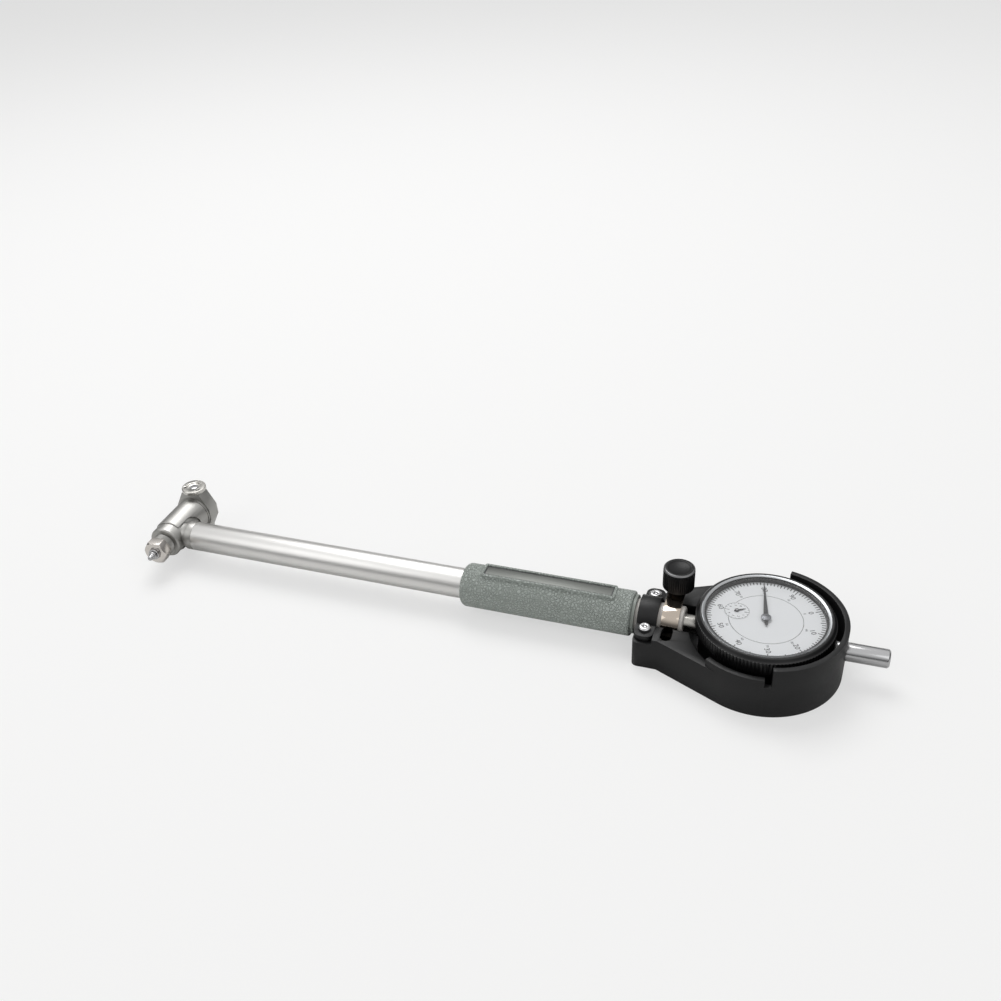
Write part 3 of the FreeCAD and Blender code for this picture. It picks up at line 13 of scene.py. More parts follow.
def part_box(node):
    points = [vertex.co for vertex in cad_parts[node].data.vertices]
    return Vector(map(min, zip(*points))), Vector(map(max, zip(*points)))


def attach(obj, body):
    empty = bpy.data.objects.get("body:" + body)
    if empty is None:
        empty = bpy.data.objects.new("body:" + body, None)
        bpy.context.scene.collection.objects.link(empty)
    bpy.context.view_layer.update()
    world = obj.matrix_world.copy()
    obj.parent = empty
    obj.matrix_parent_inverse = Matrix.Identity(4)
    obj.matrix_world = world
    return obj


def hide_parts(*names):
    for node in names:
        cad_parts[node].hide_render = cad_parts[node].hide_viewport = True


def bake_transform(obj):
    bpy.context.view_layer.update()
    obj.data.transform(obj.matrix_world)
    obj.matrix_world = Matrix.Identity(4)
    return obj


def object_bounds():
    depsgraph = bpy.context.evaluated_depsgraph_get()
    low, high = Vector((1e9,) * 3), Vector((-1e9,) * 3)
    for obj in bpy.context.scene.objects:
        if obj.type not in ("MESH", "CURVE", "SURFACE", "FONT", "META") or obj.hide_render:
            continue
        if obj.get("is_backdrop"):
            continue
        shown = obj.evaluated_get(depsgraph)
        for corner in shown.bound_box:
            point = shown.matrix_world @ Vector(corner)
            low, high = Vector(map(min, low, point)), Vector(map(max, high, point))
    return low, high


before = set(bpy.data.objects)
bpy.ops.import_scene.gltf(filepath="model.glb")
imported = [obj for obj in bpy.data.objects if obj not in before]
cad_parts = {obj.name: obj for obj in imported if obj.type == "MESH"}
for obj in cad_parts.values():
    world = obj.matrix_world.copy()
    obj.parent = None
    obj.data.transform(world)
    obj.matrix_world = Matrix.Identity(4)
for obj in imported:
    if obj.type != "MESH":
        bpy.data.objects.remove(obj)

LOG = logging.getLogger("bore_gauge")
MM = 0.001
SHARP = 0.0  # edge width of pieces whose edges stay as the CAD model has them, in mm
PLASTIC_IOR = 1.5
NOISE_LOW, NOISE_HIGH = 0.3, 0.7  # levels that a noise texture mostly stays between
Colour = tuple[float, float, float, float]


def linear(code: str) -> Colour:
    """Turn an sRGB hex colour into the linear values that a shader takes.

    Args:
        code: Six hex digits with a leading #.

    Returns:
        Linear red, green and blue with an alpha of 1.
    """
    levels = [int(code[start:start + 2], 16) / 255 for start in (1, 3, 5)]
    red, green, blue = (
        level / 12.92 if level <= 0.04045 else ((level + 0.055) / 1.055) ** 2.4
        for level in levels
    )
    return red, green, blue, 1.0


def darker(code: str, share: float) -> Colour:
    """Turn an sRGB hex colour into linear values that are darker by a share."""
    red, green, blue = (level * (1 - share) for level in linear(code)[:3])
    return red, green, blue, 1.0


def add_node(tree: NodeTree, kind: str, sockets: Optional[dict[Any, Any]] = None,
             **settings: Any) -> Node:
    """Add one node with its settings, values and links.

    Args:
        tree: Node tree that gets the node.
        kind: Blender's name for the node type.
        sockets: Input name or number to a value, or to an output socket that feeds it.
        settings: Attributes of the node itself.

    Returns:
        The new node.
    """
    node = tree.nodes.new(kind)
    for name, setting in settings.items():
        setattr(node, name, setting)
    for name, feed in (sockets or {}).items():
        if isinstance(feed, NodeSocket):
            tree.links.new(feed, node.inputs[name])
        else:
            node.inputs[name].default_value = feed
    return node


class Body(Enum):
    """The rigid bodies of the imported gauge."""

    STEM = "stem_body"
    CONTACT = "movable_contact_body"
    CRANK = "crank_body"
    ROD = "rod_body"
    BRIDGE = "bridge_body"
    LOWER_WHEEL = "lower_wheel_body"
    UPPER_WHEEL = "upper_wheel_body"
    KNOB = "knob_body"
    SPINDLE = "spindle_body"
    RACK_ARBOR = "rack_arbor_body"
    HAND = "hand_body"
    TAKE_UP = "take_up_body"
    BEZEL = "bezel_body"


class Lay(Enum):
    """Which way the marks of a tool or of polishing run."""

    ROUND_Y = (0.05, 1.0, 0.05)
    ROUND_Z = (0.05, 0.05, 1.0)
    ALONG_X = (0.02, 1.0, 1.0)
    NONE = (1.0, 1.0, 1.0)


class Finish:
    """Something that one or more pieces are finished in."""

    name: str

    def build(self) -> Material:
        """Make the material."""
        raise NotImplementedError

    def shader(self) -> tuple[Material, NodeTree, Node]:
        """Start an empty material with its Principled shader on the output.

        Returns:
            The material, its node tree and the shader.
        """
        material = bpy.data.materials.new(self.name)
        material.use_nodes = True
        tree = material.node_tree
        tree.nodes.clear()
        shader = add_node(tree, "ShaderNodeBsdfPrincipled")
        add_node(tree, "ShaderNodeOutputMaterial", {"Surface": shader.outputs["BSDF"]})
        return material, tree, shader

    @staticmethod
    def dress(shader: Node, relief: NodeSocket, tint: dict[str, Any],
              sheen: dict[str, float], height_mm: float, strength: float = 0.5) -> None:
        """Give a shader its colours, its sheen and its relief.

        Args:
            shader: The material's shader.
            relief: Pattern that the sheen and the relief follow.
            tint: The two colours, A and B, and the Factor between them.
            sheen: Range of the pattern, and the roughness at its two ends.
            height_mm: Height of the relief.
            strength: How strongly the relief shows.
        """
        tree = shader.id_data
        colour = add_node(tree, "ShaderNodeMix", tint, data_type="RGBA")
        rough = add_node(tree, "ShaderNodeMapRange", {"Value": relief, **sheen})
        bump = add_node(tree, "ShaderNodeBump", {
            "Height": relief,
            "Distance": height_mm * MM,
            "Strength": strength,
        })
        tree.links.new(colour.outputs["Result"], shader.inputs["Base Color"])
        tree.links.new(rough.outputs["Result"], shader.inputs["Roughness"])
        tree.links.new(bump.outputs["Normal"], shader.inputs["Normal"])


@dataclass(frozen=True)
class TurnedMetal(Finish):
    """Bare or plated metal, with the marks that turning, grinding or polishing left.

    The real marks are a few hundredths of a millimetre wide, so they are drawn as coarse
    as they need to be to show.
    """

    name: str
    colour: str
    roughness: float
    lay: Lay = Lay.NONE
    mark_mm: float = 0.35
    mark_height_mm: float = 0.0015
    sheen_range: float = 0.12
    stain: float = 0.06
    cloud_mm: float = 9.0

    def build(self) -> Material:
        """Make the metal with fine tool marks and an uneven sheen.

        Returns:
            The finished material.
        """
        material, tree, shader = self.shader()
        shader.inputs["Metallic"].default_value = 1.0
        place = add_node(tree, "ShaderNodeTexCoord").outputs["Object"]
        lines = add_node(tree, "ShaderNodeMapping", {"Vector": place, "Scale": self.lay.value})
        marks = add_node(tree, "ShaderNodeTexNoise", {
            "Vector": lines.outputs["Vector"],
            "Scale": 1 / (self.mark_mm * MM),
            "Detail": 3.0,
        })
        cloud = add_node(tree, "ShaderNodeTexNoise", {
            "Vector": place,
            "Scale": 1 / (self.cloud_mm * MM),
            "Detail": 4.0,
        })
        self.dress(shader, marks.outputs["Fac"], {
            "Factor": cloud.outputs["Fac"],
            "A": linear(self.colour),
            "B": darker(self.colour, self.stain),
        }, {
            "From Min": NOISE_LOW,
            "From Max": NOISE_HIGH,
            "To Min": self.roughness * (1 - self.sheen_range),
            "To Max": self.roughness * (1 + self.sheen_range),
        }, self.mark_height_mm)
        return material


@dataclass(frozen=True)
class MouldedPlastic(Finish):
    """Moulded plastic or cast and enamelled metal with a fine even texture."""

    name: str
    colour: str
    roughness: float
    grain_mm: float = 0.35
    grain_height_mm: float = 0.01
    mottle: float = 0.12
    shine: float = 0.5
    sheen_range: float = 0.1
    cloud_mm: float = 12.0

    def build(self) -> Material:
        """Make the plastic with its mould texture and faint clouding.

        Returns:
            The finished material.
        """
        material, tree, shader = self.shader()
        shader.inputs["IOR"].default_value = PLASTIC_IOR
        shader.inputs["Specular IOR Level"].default_value = self.shine
        place = add_node(tree, "ShaderNodeTexCoord").outputs["Object"]
        grain = add_node(tree, "ShaderNodeTexNoise", {
            "Vector": place,
            "Scale": 1 / (self.grain_mm * MM),
            "Detail": 2.0,
        })
        cloud = add_node(tree, "ShaderNodeTexNoise", {
            "Vector": place,
            "Scale": 1 / (self.cloud_mm * MM),
            "Detail": 3.0,
        })
        self.dress(shader, grain.outputs["Fac"], {
            "Factor": cloud.outputs["Fac"],
            "A": linear(self.colour),
            "B": darker(self.colour, self.mottle),
        }, {
            "From Min": NOISE_LOW,
            "From Max": NOISE_HIGH,
            "To Min": self.roughness * (1 - self.sheen_range),
            "To Max": self.roughness * (1 + self.sheen_range),
        }, self.grain_height_mm)
        return material


@dataclass(frozen=True)
class GrainedSleeve(Finish):
    """Grip sleeve embossed with a leather grain: small raised cells, with painted shade in the
    creases between them.
    """

    name: str
    colour: str
    crease_colour: str
    roughness: float
    cell_mm: float = 1.35
    cell_height_mm: float = 0.35
    warp_cells: float = 1.6
    warp_reach: float = 0.9
    crease_share: float = 0.22
    crease_dullness: float = 1.15

    def build(self) -> Material:
        """Make the embossed sleeve.

        Returns:
            The finished material.
        """
        material, tree, shader = self.shader()
        shader.inputs["IOR"].default_value = PLASTIC_IOR
        place = add_node(tree, "ShaderNodeTexCoord").outputs["Object"]
        warp = add_node(tree, "ShaderNodeTexNoise", {
            "Vector": place,
            "Scale": 1 / (self.cell_mm * self.warp_cells * MM),
            "Detail": 2.0,
        })
        shift = add_node(tree, "ShaderNodeVectorMath", {
            0: warp.outputs["Color"],
            1: (0.5, 0.5, 0.5),
        }, operation="SUBTRACT")
        small = add_node(tree, "ShaderNodeVectorMath", {
            0: shift.outputs["Vector"],
            "Scale": self.cell_mm * self.warp_reach * MM,
        }, operation="SCALE")
        bent = add_node(tree, "ShaderNodeVectorMath", {
            0: place,
            1: small.outputs["Vector"],
        }, operation="ADD")
        cells = add_node(tree, "ShaderNodeTexVoronoi", {
            "Vector": bent.outputs["Vector"],
            "Scale": 1 / (self.cell_mm * MM),
        }, feature="DISTANCE_TO_EDGE")
        raised = add_node(tree, "ShaderNodeMapRange", {
            "Value": cells.outputs["Distance"],
            "From Min": 0.0,
            "From Max": self.crease_share,
        }, interpolation_type="SMOOTHSTEP")
        self.dress(shader, raised.outputs["Result"], {
            "Factor": raised.outputs["Result"],
            # Painted shade: the creases get the darker colour
            "A": linear(self.crease_colour),
            "B": linear(self.colour),
        }, {
            "To Min": self.roughness * self.crease_dullness,
            "To Max": self.roughness,
        }, self.cell_height_mm, strength=1.0)
        return material


@dataclass(frozen=True)
class ClearPane(Finish):
    """Thin clear acrylic pane: what it doesn't reflect passes straight through."""

    name: str
    refractive_index: float = 1.49
    roughness: float = 0.03

    def build(self) -> Material:
        """Make the pane, whose outer face mirrors more the flatter it is seen.

        Returns:
            The finished material.
        """
        material, tree, shader = self.shader()
        shader.inputs["Base Color"].default_value = (1.0, 1.0, 1.0, 1.0)
        shader.inputs["Metallic"].default_value = 1.0
        shader.inputs["Roughness"].default_value = self.roughness
        mirror = add_node(tree, "ShaderNodeFresnel", {"IOR": self.refractive_index})
        inside = add_node(tree, "ShaderNodeNewGeometry").outputs["Backfacing"]
        outside = add_node(tree, "ShaderNodeMath", {0: 1.0, 1: inside}, operation="SUBTRACT")
        shown = add_node(tree, "ShaderNodeMath", {
            0: mirror.outputs["Fac"],
            1: outside.outputs["Value"],
        }, operation="MULTIPLY")
        tree.links.new(shown.outputs["Value"], shader.inputs["Alpha"])
        return material


@dataclass(frozen=True)
class Finishes:
    """Every finish of the gauge, made once and shared by its pieces."""

    # Satin chrome plate on a drawn tube: pale and even, with faint lines along it from polishing
    tube_chrome: TurnedMetal = TurnedMetal(
        "satin_chrome_tube", "#dcdbd9", 0.37, Lay.ALONG_X, 0.3, 0.0004, 0.05)
    # Nickel-plated steel, turned about the measuring axis: greyer, with fine turning lines
    head_nickel: TurnedMetal = TurnedMetal("satin_nickel_head", "#a6a5a2", 0.42, Lay.ROUND_Y, 0.35)
    # The same plate on faces that were turned about the dial's axis, and rubbed bright
    wheel_nickel: TurnedMetal = TurnedMetal(
        "rubbed_nickel_wheel", "#c4c2bd", 0.2, Lay.ROUND_Z, 0.4, 0.003)
    # Ground and hardened steel: dark reflections with crisp highlights
    ground_steel: TurnedMetal = TurnedMetal("ground_steel", "#b4b4b5", 0.18, Lay.NONE, 0.25)
    # Ground steel stem of the dial, drawn lengthwise
    stem_steel: TurnedMetal = TurnedMetal(
        "ground_steel_stem", "#aaa8a3", 0.26, Lay.ALONG_X, 0.35, 0.003)
    # Drawn spring wire: darker, a little dull
    spring_wire: TurnedMetal = TurnedMetal("spring_wire", "#8d8e92", 0.3, Lay.NONE, 0.2)
    # Bright nickel plate over sheet: almost a mirror, warm in its reflections
    bright_nickel: TurnedMetal = TurnedMetal(
        "bright_nickel_band", "#b9aea2", 0.11, Lay.NONE, 0.8, 0.001)
    # Bright nickel plate over steel: neutral and glossy
    nut_nickel: TurnedMetal = TurnedMetal("bright_nickel_nut", "#cdc8c3", 0.17, Lay.ROUND_Y, 0.3)
    # Turned aluminium of the ring round the crystal: satin with fine rings
    ring_aluminium: TurnedMetal = TurnedMetal(
        "turned_aluminium_ring", "#a6a8aa", 0.32, Lay.ROUND_Z, 0.3)
    # Painted highlight: a paler grey metal on the chamfer at the black knob's top edge, where
    # light catches it
    knob_rim: TurnedMetal = TurnedMetal("rubbed_knob_rim", "#707071", 0.34, Lay.ROUND_Z, 0.3)
    # Hub of the hand: blued steel, greyer and duller than the ground parts
    hub_steel: TurnedMetal = TurnedMetal("blued_steel_hub", "#77787c", 0.48, Lay.ROUND_Z, 0.3)
    # Brushed plate for the label: dull, close to the grip in tone
    label_plate: TurnedMetal = TurnedMetal(
        "brushed_label_plate", "#6b6d6a", 0.48, Lay.ALONG_X, 0.25, 0.003)
    # Lacquered clock brass
    clock_brass: TurnedMetal = TurnedMetal("lacquered_brass", "#c8a862", 0.25, Lay.NONE, 0.3)
    # Vinyl sleeve with an embossed leather grain, sage grey, with a darker colour as painted shade
    # in its creases
    grip_vinyl: GrainedSleeve = GrainedSleeve("grained_vinyl_grip", "#a7aea9", "#939a94", 0.44)
    # Smooth vinyl bead at the sleeve's end, a little darker than the grain
    bead_vinyl: MouldedPlastic = MouldedPlastic(
        "smooth_vinyl_bead", "#8a908a", 0.42, 0.4, 0.006, mottle=0.06)
    # Nylon collar: off-white, waxy and soft-edged
    collar_nylon: MouldedPlastic = MouldedPlastic(
        "white_nylon_collar", "#d6d2cd", 0.4, 0.5, 0.006, mottle=0.05)
    # Black phenolic knob: deep black with a soft gloss and a fine moulded grain
    knob_phenolic: MouldedPlastic = MouldedPlastic(
        "black_phenolic_knob", "#0f0f10", 0.38, 0.5, 0.02, shine=0.24)
    # Black baked enamel on the dial's body and bezel
    case_enamel: MouldedPlastic = MouldedPlastic(
        "black_baked_enamel", "#0e0e0f", 0.34, 0.3, 0.006, shine=0.38)
    # Glass-filled nylon guard: black, slightly greyer where it catches light
    guard_nylon: MouldedPlastic = MouldedPlastic(
        "black_nylon_guard", "#151516", 0.45, 0.6, 0.02, shine=0.3)
    # Blued hands and printed marks
    dial_ink: MouldedPlastic = MouldedPlastic("black_dial_ink", "#1b1c1f", 0.45, 0.3, 0.002)
    # Grey ink of the finer print on the dial
    grey_ink: MouldedPlastic = MouldedPlastic("grey_dial_ink", "#5c5f63", 0.5, 0.3, 0.002)
    # Matt white lacquer on the dial plates, a little cool
    dial_lacquer: MouldedPlastic = MouldedPlastic(
        "white_dial_lacquer", "#dcdee0", 0.55, 0.3, 0.002, mottle=0.02)
    # Acrylic crystal
    crystal: ClearPane = ClearPane("acrylic_crystal")


class Workshop:
    """Makes meshes, keeps the made materials and ties each piece to its body."""

    WELD_MM = 0.001
    FLAT_DEGREES = 0.4
    EDGE_DEGREES = 38
    SMOOTH_DEGREES = 32.0
    NUMERAL_SHARE = 0.72  # height of a numeral as a share of the type's size
    INK_SPREAD_MM = 0.004

    def __init__(self) -> None:
        """Start with no materials made."""
        self.finishes = Finishes()
        self._made: dict[str, Material] = {}

    def material(self, finish: Finish) -> Material:
        """Return the material of a finish, made on its first use."""
        if finish.name not in self._made:
            self._made[finish.name] = finish.build()
        return self._made[finish.name]

    def keep(self, piece: Object, body: Body, slot: str,
             stands_for: Sequence[str] = ()) -> Object:
        """Tie a finished piece to its body, and hide the CAD nodes that it stands for.

        Args:
            piece: Mesh object at the origin.
            body: CAD body that it moves with.
            slot: Not used.
            stands_for: CAD nodes that it takes the place of.

        Returns:
            The same piece.
        """
        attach(piece, body.value)
        if stands_for:
            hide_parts(*stands_for)
        LOG.info("%s rides on %s", piece.name, body.value)
        return piece

    def new_piece(self, name: str, work: bmesh.types.BMesh, finish: Finish) -> Object:
        """Put worked geometry into the scene in one finish, and free it.

        Args:
            name: Name of the piece.
            work: Its geometry, already in place.
            finish: What it is finished in.

        Returns:
            The new object, at the origin.
        """
        mesh = bpy.data.meshes.new(name)
        work.to_mesh(mesh)
        work.free()
        mesh.materials.append(self.material(finish))
        piece = bpy.data.objects.new(name, mesh)
        bpy.context.scene.collection.objects.link(piece)
        return piece

    def finish_node(
        self, node: str, finish: Finish, body: Body, slot: str, edge_mm: float,
        accent: Optional[tuple[Finish, Callable[[MeshPolygon], bool]]] = None,
    ) -> Object:
        """Take a CAD node's shape, soften its edges and finish it.

        Args:
            node: CAD node that gives the shape.
            finish: What it is finished in.
            body: CAD body that it moves with.
            slot: Material slot of the record.
            edge_mm: Width of the softened edges.
            accent: A second finish, and the test for the faces that get it.

        Returns:
            The finished piece, which stands for the node.
        """
        piece = self.shape_node(node, finish, edge_mm)
        if accent:
            second, wanted = accent
            piece.data.materials.append(self.material(second))
            for face in piece.data.polygons:
                if wanted(face):
                    face.material_index = 1
        return self.keep(piece, body, slot, [node])

    def shape_node(self, node: str, finish: Finish, edge_mm: float) -> Object:
        """Copy a CAD node's shape into a new piece and soften its edges.

        Args:
            node: CAD node that gives the shape.
            finish: What the piece is finished in.
            edge_mm: Width of the softened edges.

        Returns:
            The new piece, not yet on any body.
        """
        work = bmesh.new()
        work.from_mesh(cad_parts[node].data)
        bmesh.ops.remove_doubles(work, verts=work.verts, dist=self.WELD_MM * MM)
        bmesh.ops.dissolve_limit(work, angle_limit=math.radians(self.FLAT_DEGREES),
                                 verts=work.verts, edges=work.edges)
        piece = self.new_piece(node + "_finished", work, finish)
        if edge_mm > 0:
            bevel = piece.modifiers.new("soft_edges", "BEVEL")
            bevel.width = edge_mm * MM
            bevel.segments = 2
            bevel.limit_method = "ANGLE"
            bevel.angle_limit = math.radians(self.EDGE_DEGREES)
            bevel.use_clamp_overlap = True
            self.bake_modifiers(piece)
        self.smooth(piece)
        return piece

    def finish_spring(self, node: str, finish: Finish, low_body: Body, high_body: Body,
                      axis: int) -> None:
        """Finish a coil spring where it stands, tied to neither body, so that it keeps its length.

        Args:
            node: CAD node that gives the shape.
            finish: What it is finished in.
            low_body: Body that the end at the lower coordinate bears on.
            high_body: Body that the other end bears on.
            axis: Coordinate that the spring lies along, 0 for X and 1 for Y.
        """
        spring = self.shape_node(node, finish, SHARP)
        low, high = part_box(node)
        start = (low + high) / 2
        end = start.copy()
        start[axis] = low[axis]
        end[axis] = high[axis]
        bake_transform(spring)
        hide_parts(node)
        LOG.info("%s stretches from %s to %s", spring.name, low_body.value, high_body.value)

    def bake_modifiers(self, piece: Object) -> None:
        """Replace a piece's mesh by what its modifiers make of it."""
        bpy.context.view_layer.update()
        shaped = piece.evaluated_get(bpy.context.evaluated_depsgraph_get())
        mesh = bpy.data.meshes.new_from_object(shaped)
        piece.modifiers.clear()
        piece.data = mesh

    def smooth(self, piece: Object, degrees: float = SMOOTH_DEGREES) -> None:
        """Shade smooth, and keep edges sharper than an angle."""
        piece.data.shade_smooth()
        piece.data.set_sharp_from_angle(angle=math.radians(degrees))

    def grow(self, name: str, tree: NodeTree, finish: Finish,
             **inputs: Any) -> Object:
        """Run a Geometry Nodes tree and keep what it makes as a plain mesh.

        Args:
            name: Name of the piece.
            tree: The tree, whose inputs are sizes and a material.
            finish: What the piece is finished in.
            inputs: Value for each named input, with underscores for spaces.

        Returns:
            A plain mesh object at the origin.
        """
        seed = bpy.data.meshes.new(name + "_seed")
        piece = bpy.data.objects.new(name, seed)
        bpy.context.scene.collection.objects.link(piece)
        maker = piece.modifiers.new("maker", "NODES")
        maker.node_group = tree
        known = {
            item.name.lower().replace(" ", "_"): item.identifier
            for item in tree.interface.items_tree
            if item.item_type == "SOCKET" and item.in_out == "INPUT"
        }
        maker[known["finish"]] = self.material(finish)
        for label, number in inputs.items():
            maker[known[label]] = number
        self.bake_modifiers(piece)
        return piece

    def lettering(self, name: str, finish: Finish,
                  items: Iterable[tuple[str, float, Matrix]], depth: float) -> Object:
        """Make several numerals as one mesh.

        Args:
            name: Name of the piece.
            finish: Ink that they are printed in.
            items: Text, height in metres and place of each numeral.
            depth: Thickness of the ink, in metres.

        Returns:
            One mesh object at the origin.
        """
        joined = bmesh.new()
        for text, height, place in items:
            curve = bpy.data.curves.new(name + "_text", "FONT")
            curve.body = text
            curve.size = height / self.NUMERAL_SHARE
            curve.align_x = "CENTER"
            curve.align_y = "CENTER"
            curve.extrude = depth / 2
            curve.offset = self.INK_SPREAD_MM * MM
            curve.resolution_u = 3
            carrier = bpy.data.objects.new(name + "_text", curve)
            bpy.context.scene.collection.objects.link(carrier)
            bpy.context.view_layer.update()
            shaped = carrier.evaluated_get(bpy.context.evaluated_depsgraph_get())
            mesh = bpy.data.meshes.new_from_object(shaped)
            mesh.transform(place)
            joined.from_mesh(mesh)
            bpy.data.objects.remove(carrier)
            bpy.data.meshes.remove(mesh)
            bpy.data.curves.remove(curve)
        return self.new_piece(name, joined, finish)


def new_tree(name: str, inputs: dict[str, Any]) -> tuple[NodeTree, Node]:
    """Start a Geometry Nodes tree with named inputs.

    Args:
        name: Name of the tree.
        inputs: Name of each input to its default value.

    Returns:
        The tree and its group input node.
    """
    tree = bpy.data.node_groups.new(name, "GeometryNodeTree")
    tree.interface.new_socket("Geometry", in_out="OUTPUT", socket_type="NodeSocketGeometry")
    for label, default in inputs.items():
        kind = "NodeSocketInt" if isinstance(default, int) else "NodeSocketFloat"
        tree.interface.new_socket(label, in_out="INPUT", socket_type=kind).default_value = default
    tree.interface.new_socket("Finish", in_out="INPUT", socket_type="NodeSocketMaterial")
    return tree, add_node(tree, "NodeGroupInput")


def end_tree(tree: NodeTree, source: Node,
             shape: NodeSocket) -> None:
    """Realise instances, set the finish and join the tree's output."""
    real = add_node(tree, "GeometryNodeRealizeInstances", {"Geometry": shape})
    painted = add_node(tree, "GeometryNodeSetMaterial", {
        "Geometry": real.outputs["Geometry"],
        "Material": source.outputs["Finish"],
    })
    add_node(tree, "NodeGroupOutput", {"Geometry": painted.outputs["Geometry"]})


def dial_mark_tree() -> NodeTree:
    """Tree that prints marks round a circle, with every fifth and tenth mark longer.

    Returns:
        The node tree.
    """
    tree, source = new_tree("dial_marks", {
        "Marks": 100,
        "Outer Radius": 0.02,
        "Short": 0.001,
        "Medium": 0.0015,
        "Long": 0.002,
        "Width": 0.0002,
        "Thickness": 0.00002,
        "Centre X": 0.0,
        "Centre Y": 0.0,
        "Level": 0.0,
        "Start": 0.0,
    })
    given = source.outputs
    points = add_node(tree, "GeometryNodePoints", {"Count": given["Marks"]})
    number = add_node(tree, "GeometryNodeInputIndex").outputs["Index"]

    def maths(operation: str, *feeds: Any) -> NodeSocket:
        """Add one sum and return its result."""
        sums = add_node(tree, "ShaderNodeMath", dict(enumerate(feeds)), operation=operation)
        return sums.outputs[0]

    turn = maths("MULTIPLY", maths("DIVIDE", number, given["Marks"]), -2 * math.pi)
    angle = maths("ADD", turn, given["Start"])
    is_fifth = maths("COMPARE", maths("MODULO", number, 5.0), 0.0, 0.01)
    is_tenth = maths("COMPARE", maths("MODULO", number, 10.0), 0.0, 0.01)
    more = maths("MULTIPLY", is_fifth, maths("SUBTRACT", given["Medium"], given["Short"]))
    most = maths("MULTIPLY", is_tenth, maths("SUBTRACT", given["Long"], given["Medium"]))
    length = maths("ADD", maths("ADD", given["Short"], more), most)
    radius = maths("SUBTRACT", given["Outer Radius"], maths("DIVIDE", length, 2.0))
    spot = add_node(tree, "ShaderNodeCombineXYZ", {
        "X": maths("ADD", maths("MULTIPLY", radius, maths("COSINE", angle)), given["Centre X"]),
        "Y": maths("ADD", maths("MULTIPLY", radius, maths("SINE", angle)), given["Centre Y"]),
        "Z": given["Level"],
    })
    placed = add_node(tree, "GeometryNodeSetPosition", {
        "Geometry": points.outputs[0],
        "Position": spot.outputs["Vector"],
    })
    mark = add_node(tree, "GeometryNodeMeshCube", {"Size": (1.0, 1.0, 1.0)})
    size = add_node(tree, "ShaderNodeCombineXYZ", {
        "X": length,
        "Y": given["Width"],
        "Z": given["Thickness"],
    })
    facing = add_node(tree, "ShaderNodeCombineXYZ", {"Z": angle})
    marks = add_node(tree, "GeometryNodeInstanceOnPoints", {
        "Points": placed.outputs["Geometry"],
        "Instance": mark.outputs["Mesh"],
        "Rotation": facing.outputs["Vector"],
        "Scale": size.outputs["Vector"],
    })
    end_tree(tree, source, marks.outputs["Instances"])
    return tree


def thread_tree() -> NodeTree:
    """Tree that stacks the crests of a screw thread along Z.

    Returns:
        The node tree.
    """
    tree, source = new_tree("thread_crests", {
        "Crests": 4,
        "Radius": 0.005,
        "Crest": 0.0001,
        "Pitch": 0.0005,
    })
    given = source.outputs
    spacing = add_node(tree, "ShaderNodeCombineXYZ", {"Z": given["Pitch"]})
    line = add_node(tree, "GeometryNodeMeshLine", {
        "Count": given["Crests"],
        "Offset": spacing.outputs["Vector"],
    }, mode="OFFSET")
    circle, section = (
        add_node(tree, "GeometryNodeCurvePrimitiveCircle", {"Resolution": sides, "Radius": radius})
        for sides, radius in ((48, given["Radius"]), (4, given["Crest"]))
    )
    crest = add_node(tree, "GeometryNodeCurveToMesh", {
        "Curve": circle.outputs["Curve"],
        "Profile Curve": section.outputs["Curve"],
    })
    stack = add_node(tree, "GeometryNodeInstanceOnPoints", {
        "Points": line.outputs["Mesh"],
        "Instance": crest.outputs["Mesh"],
    })
    end_tree(tree, source, stack.outputs["Instances"])
    return tree


@dataclass
class SubAssembly:
    """Pieces of the gauge that are made and finished together."""

    shop: Workshop

    def build(self) -> None:
        """Make every piece."""
        raise NotImplementedError

    @property
    def finishes(self) -> Finishes:
        """The shared finishes."""
        return self.shop.finishes

    def finish_nodes(self, pieces: Iterable[tuple[str, Finish, Body, str]],
                     edge_mm: float) -> None:
        """Finish CAD nodes whose edges are softened alike.

        Args:
            pieces: Node, finish, body and material slot of each.
            edge_mm: Width of the softened edges.
        """
        for node, finish, body, slot in pieces:
            self.shop.finish_node(node, finish, body, slot, edge_mm)


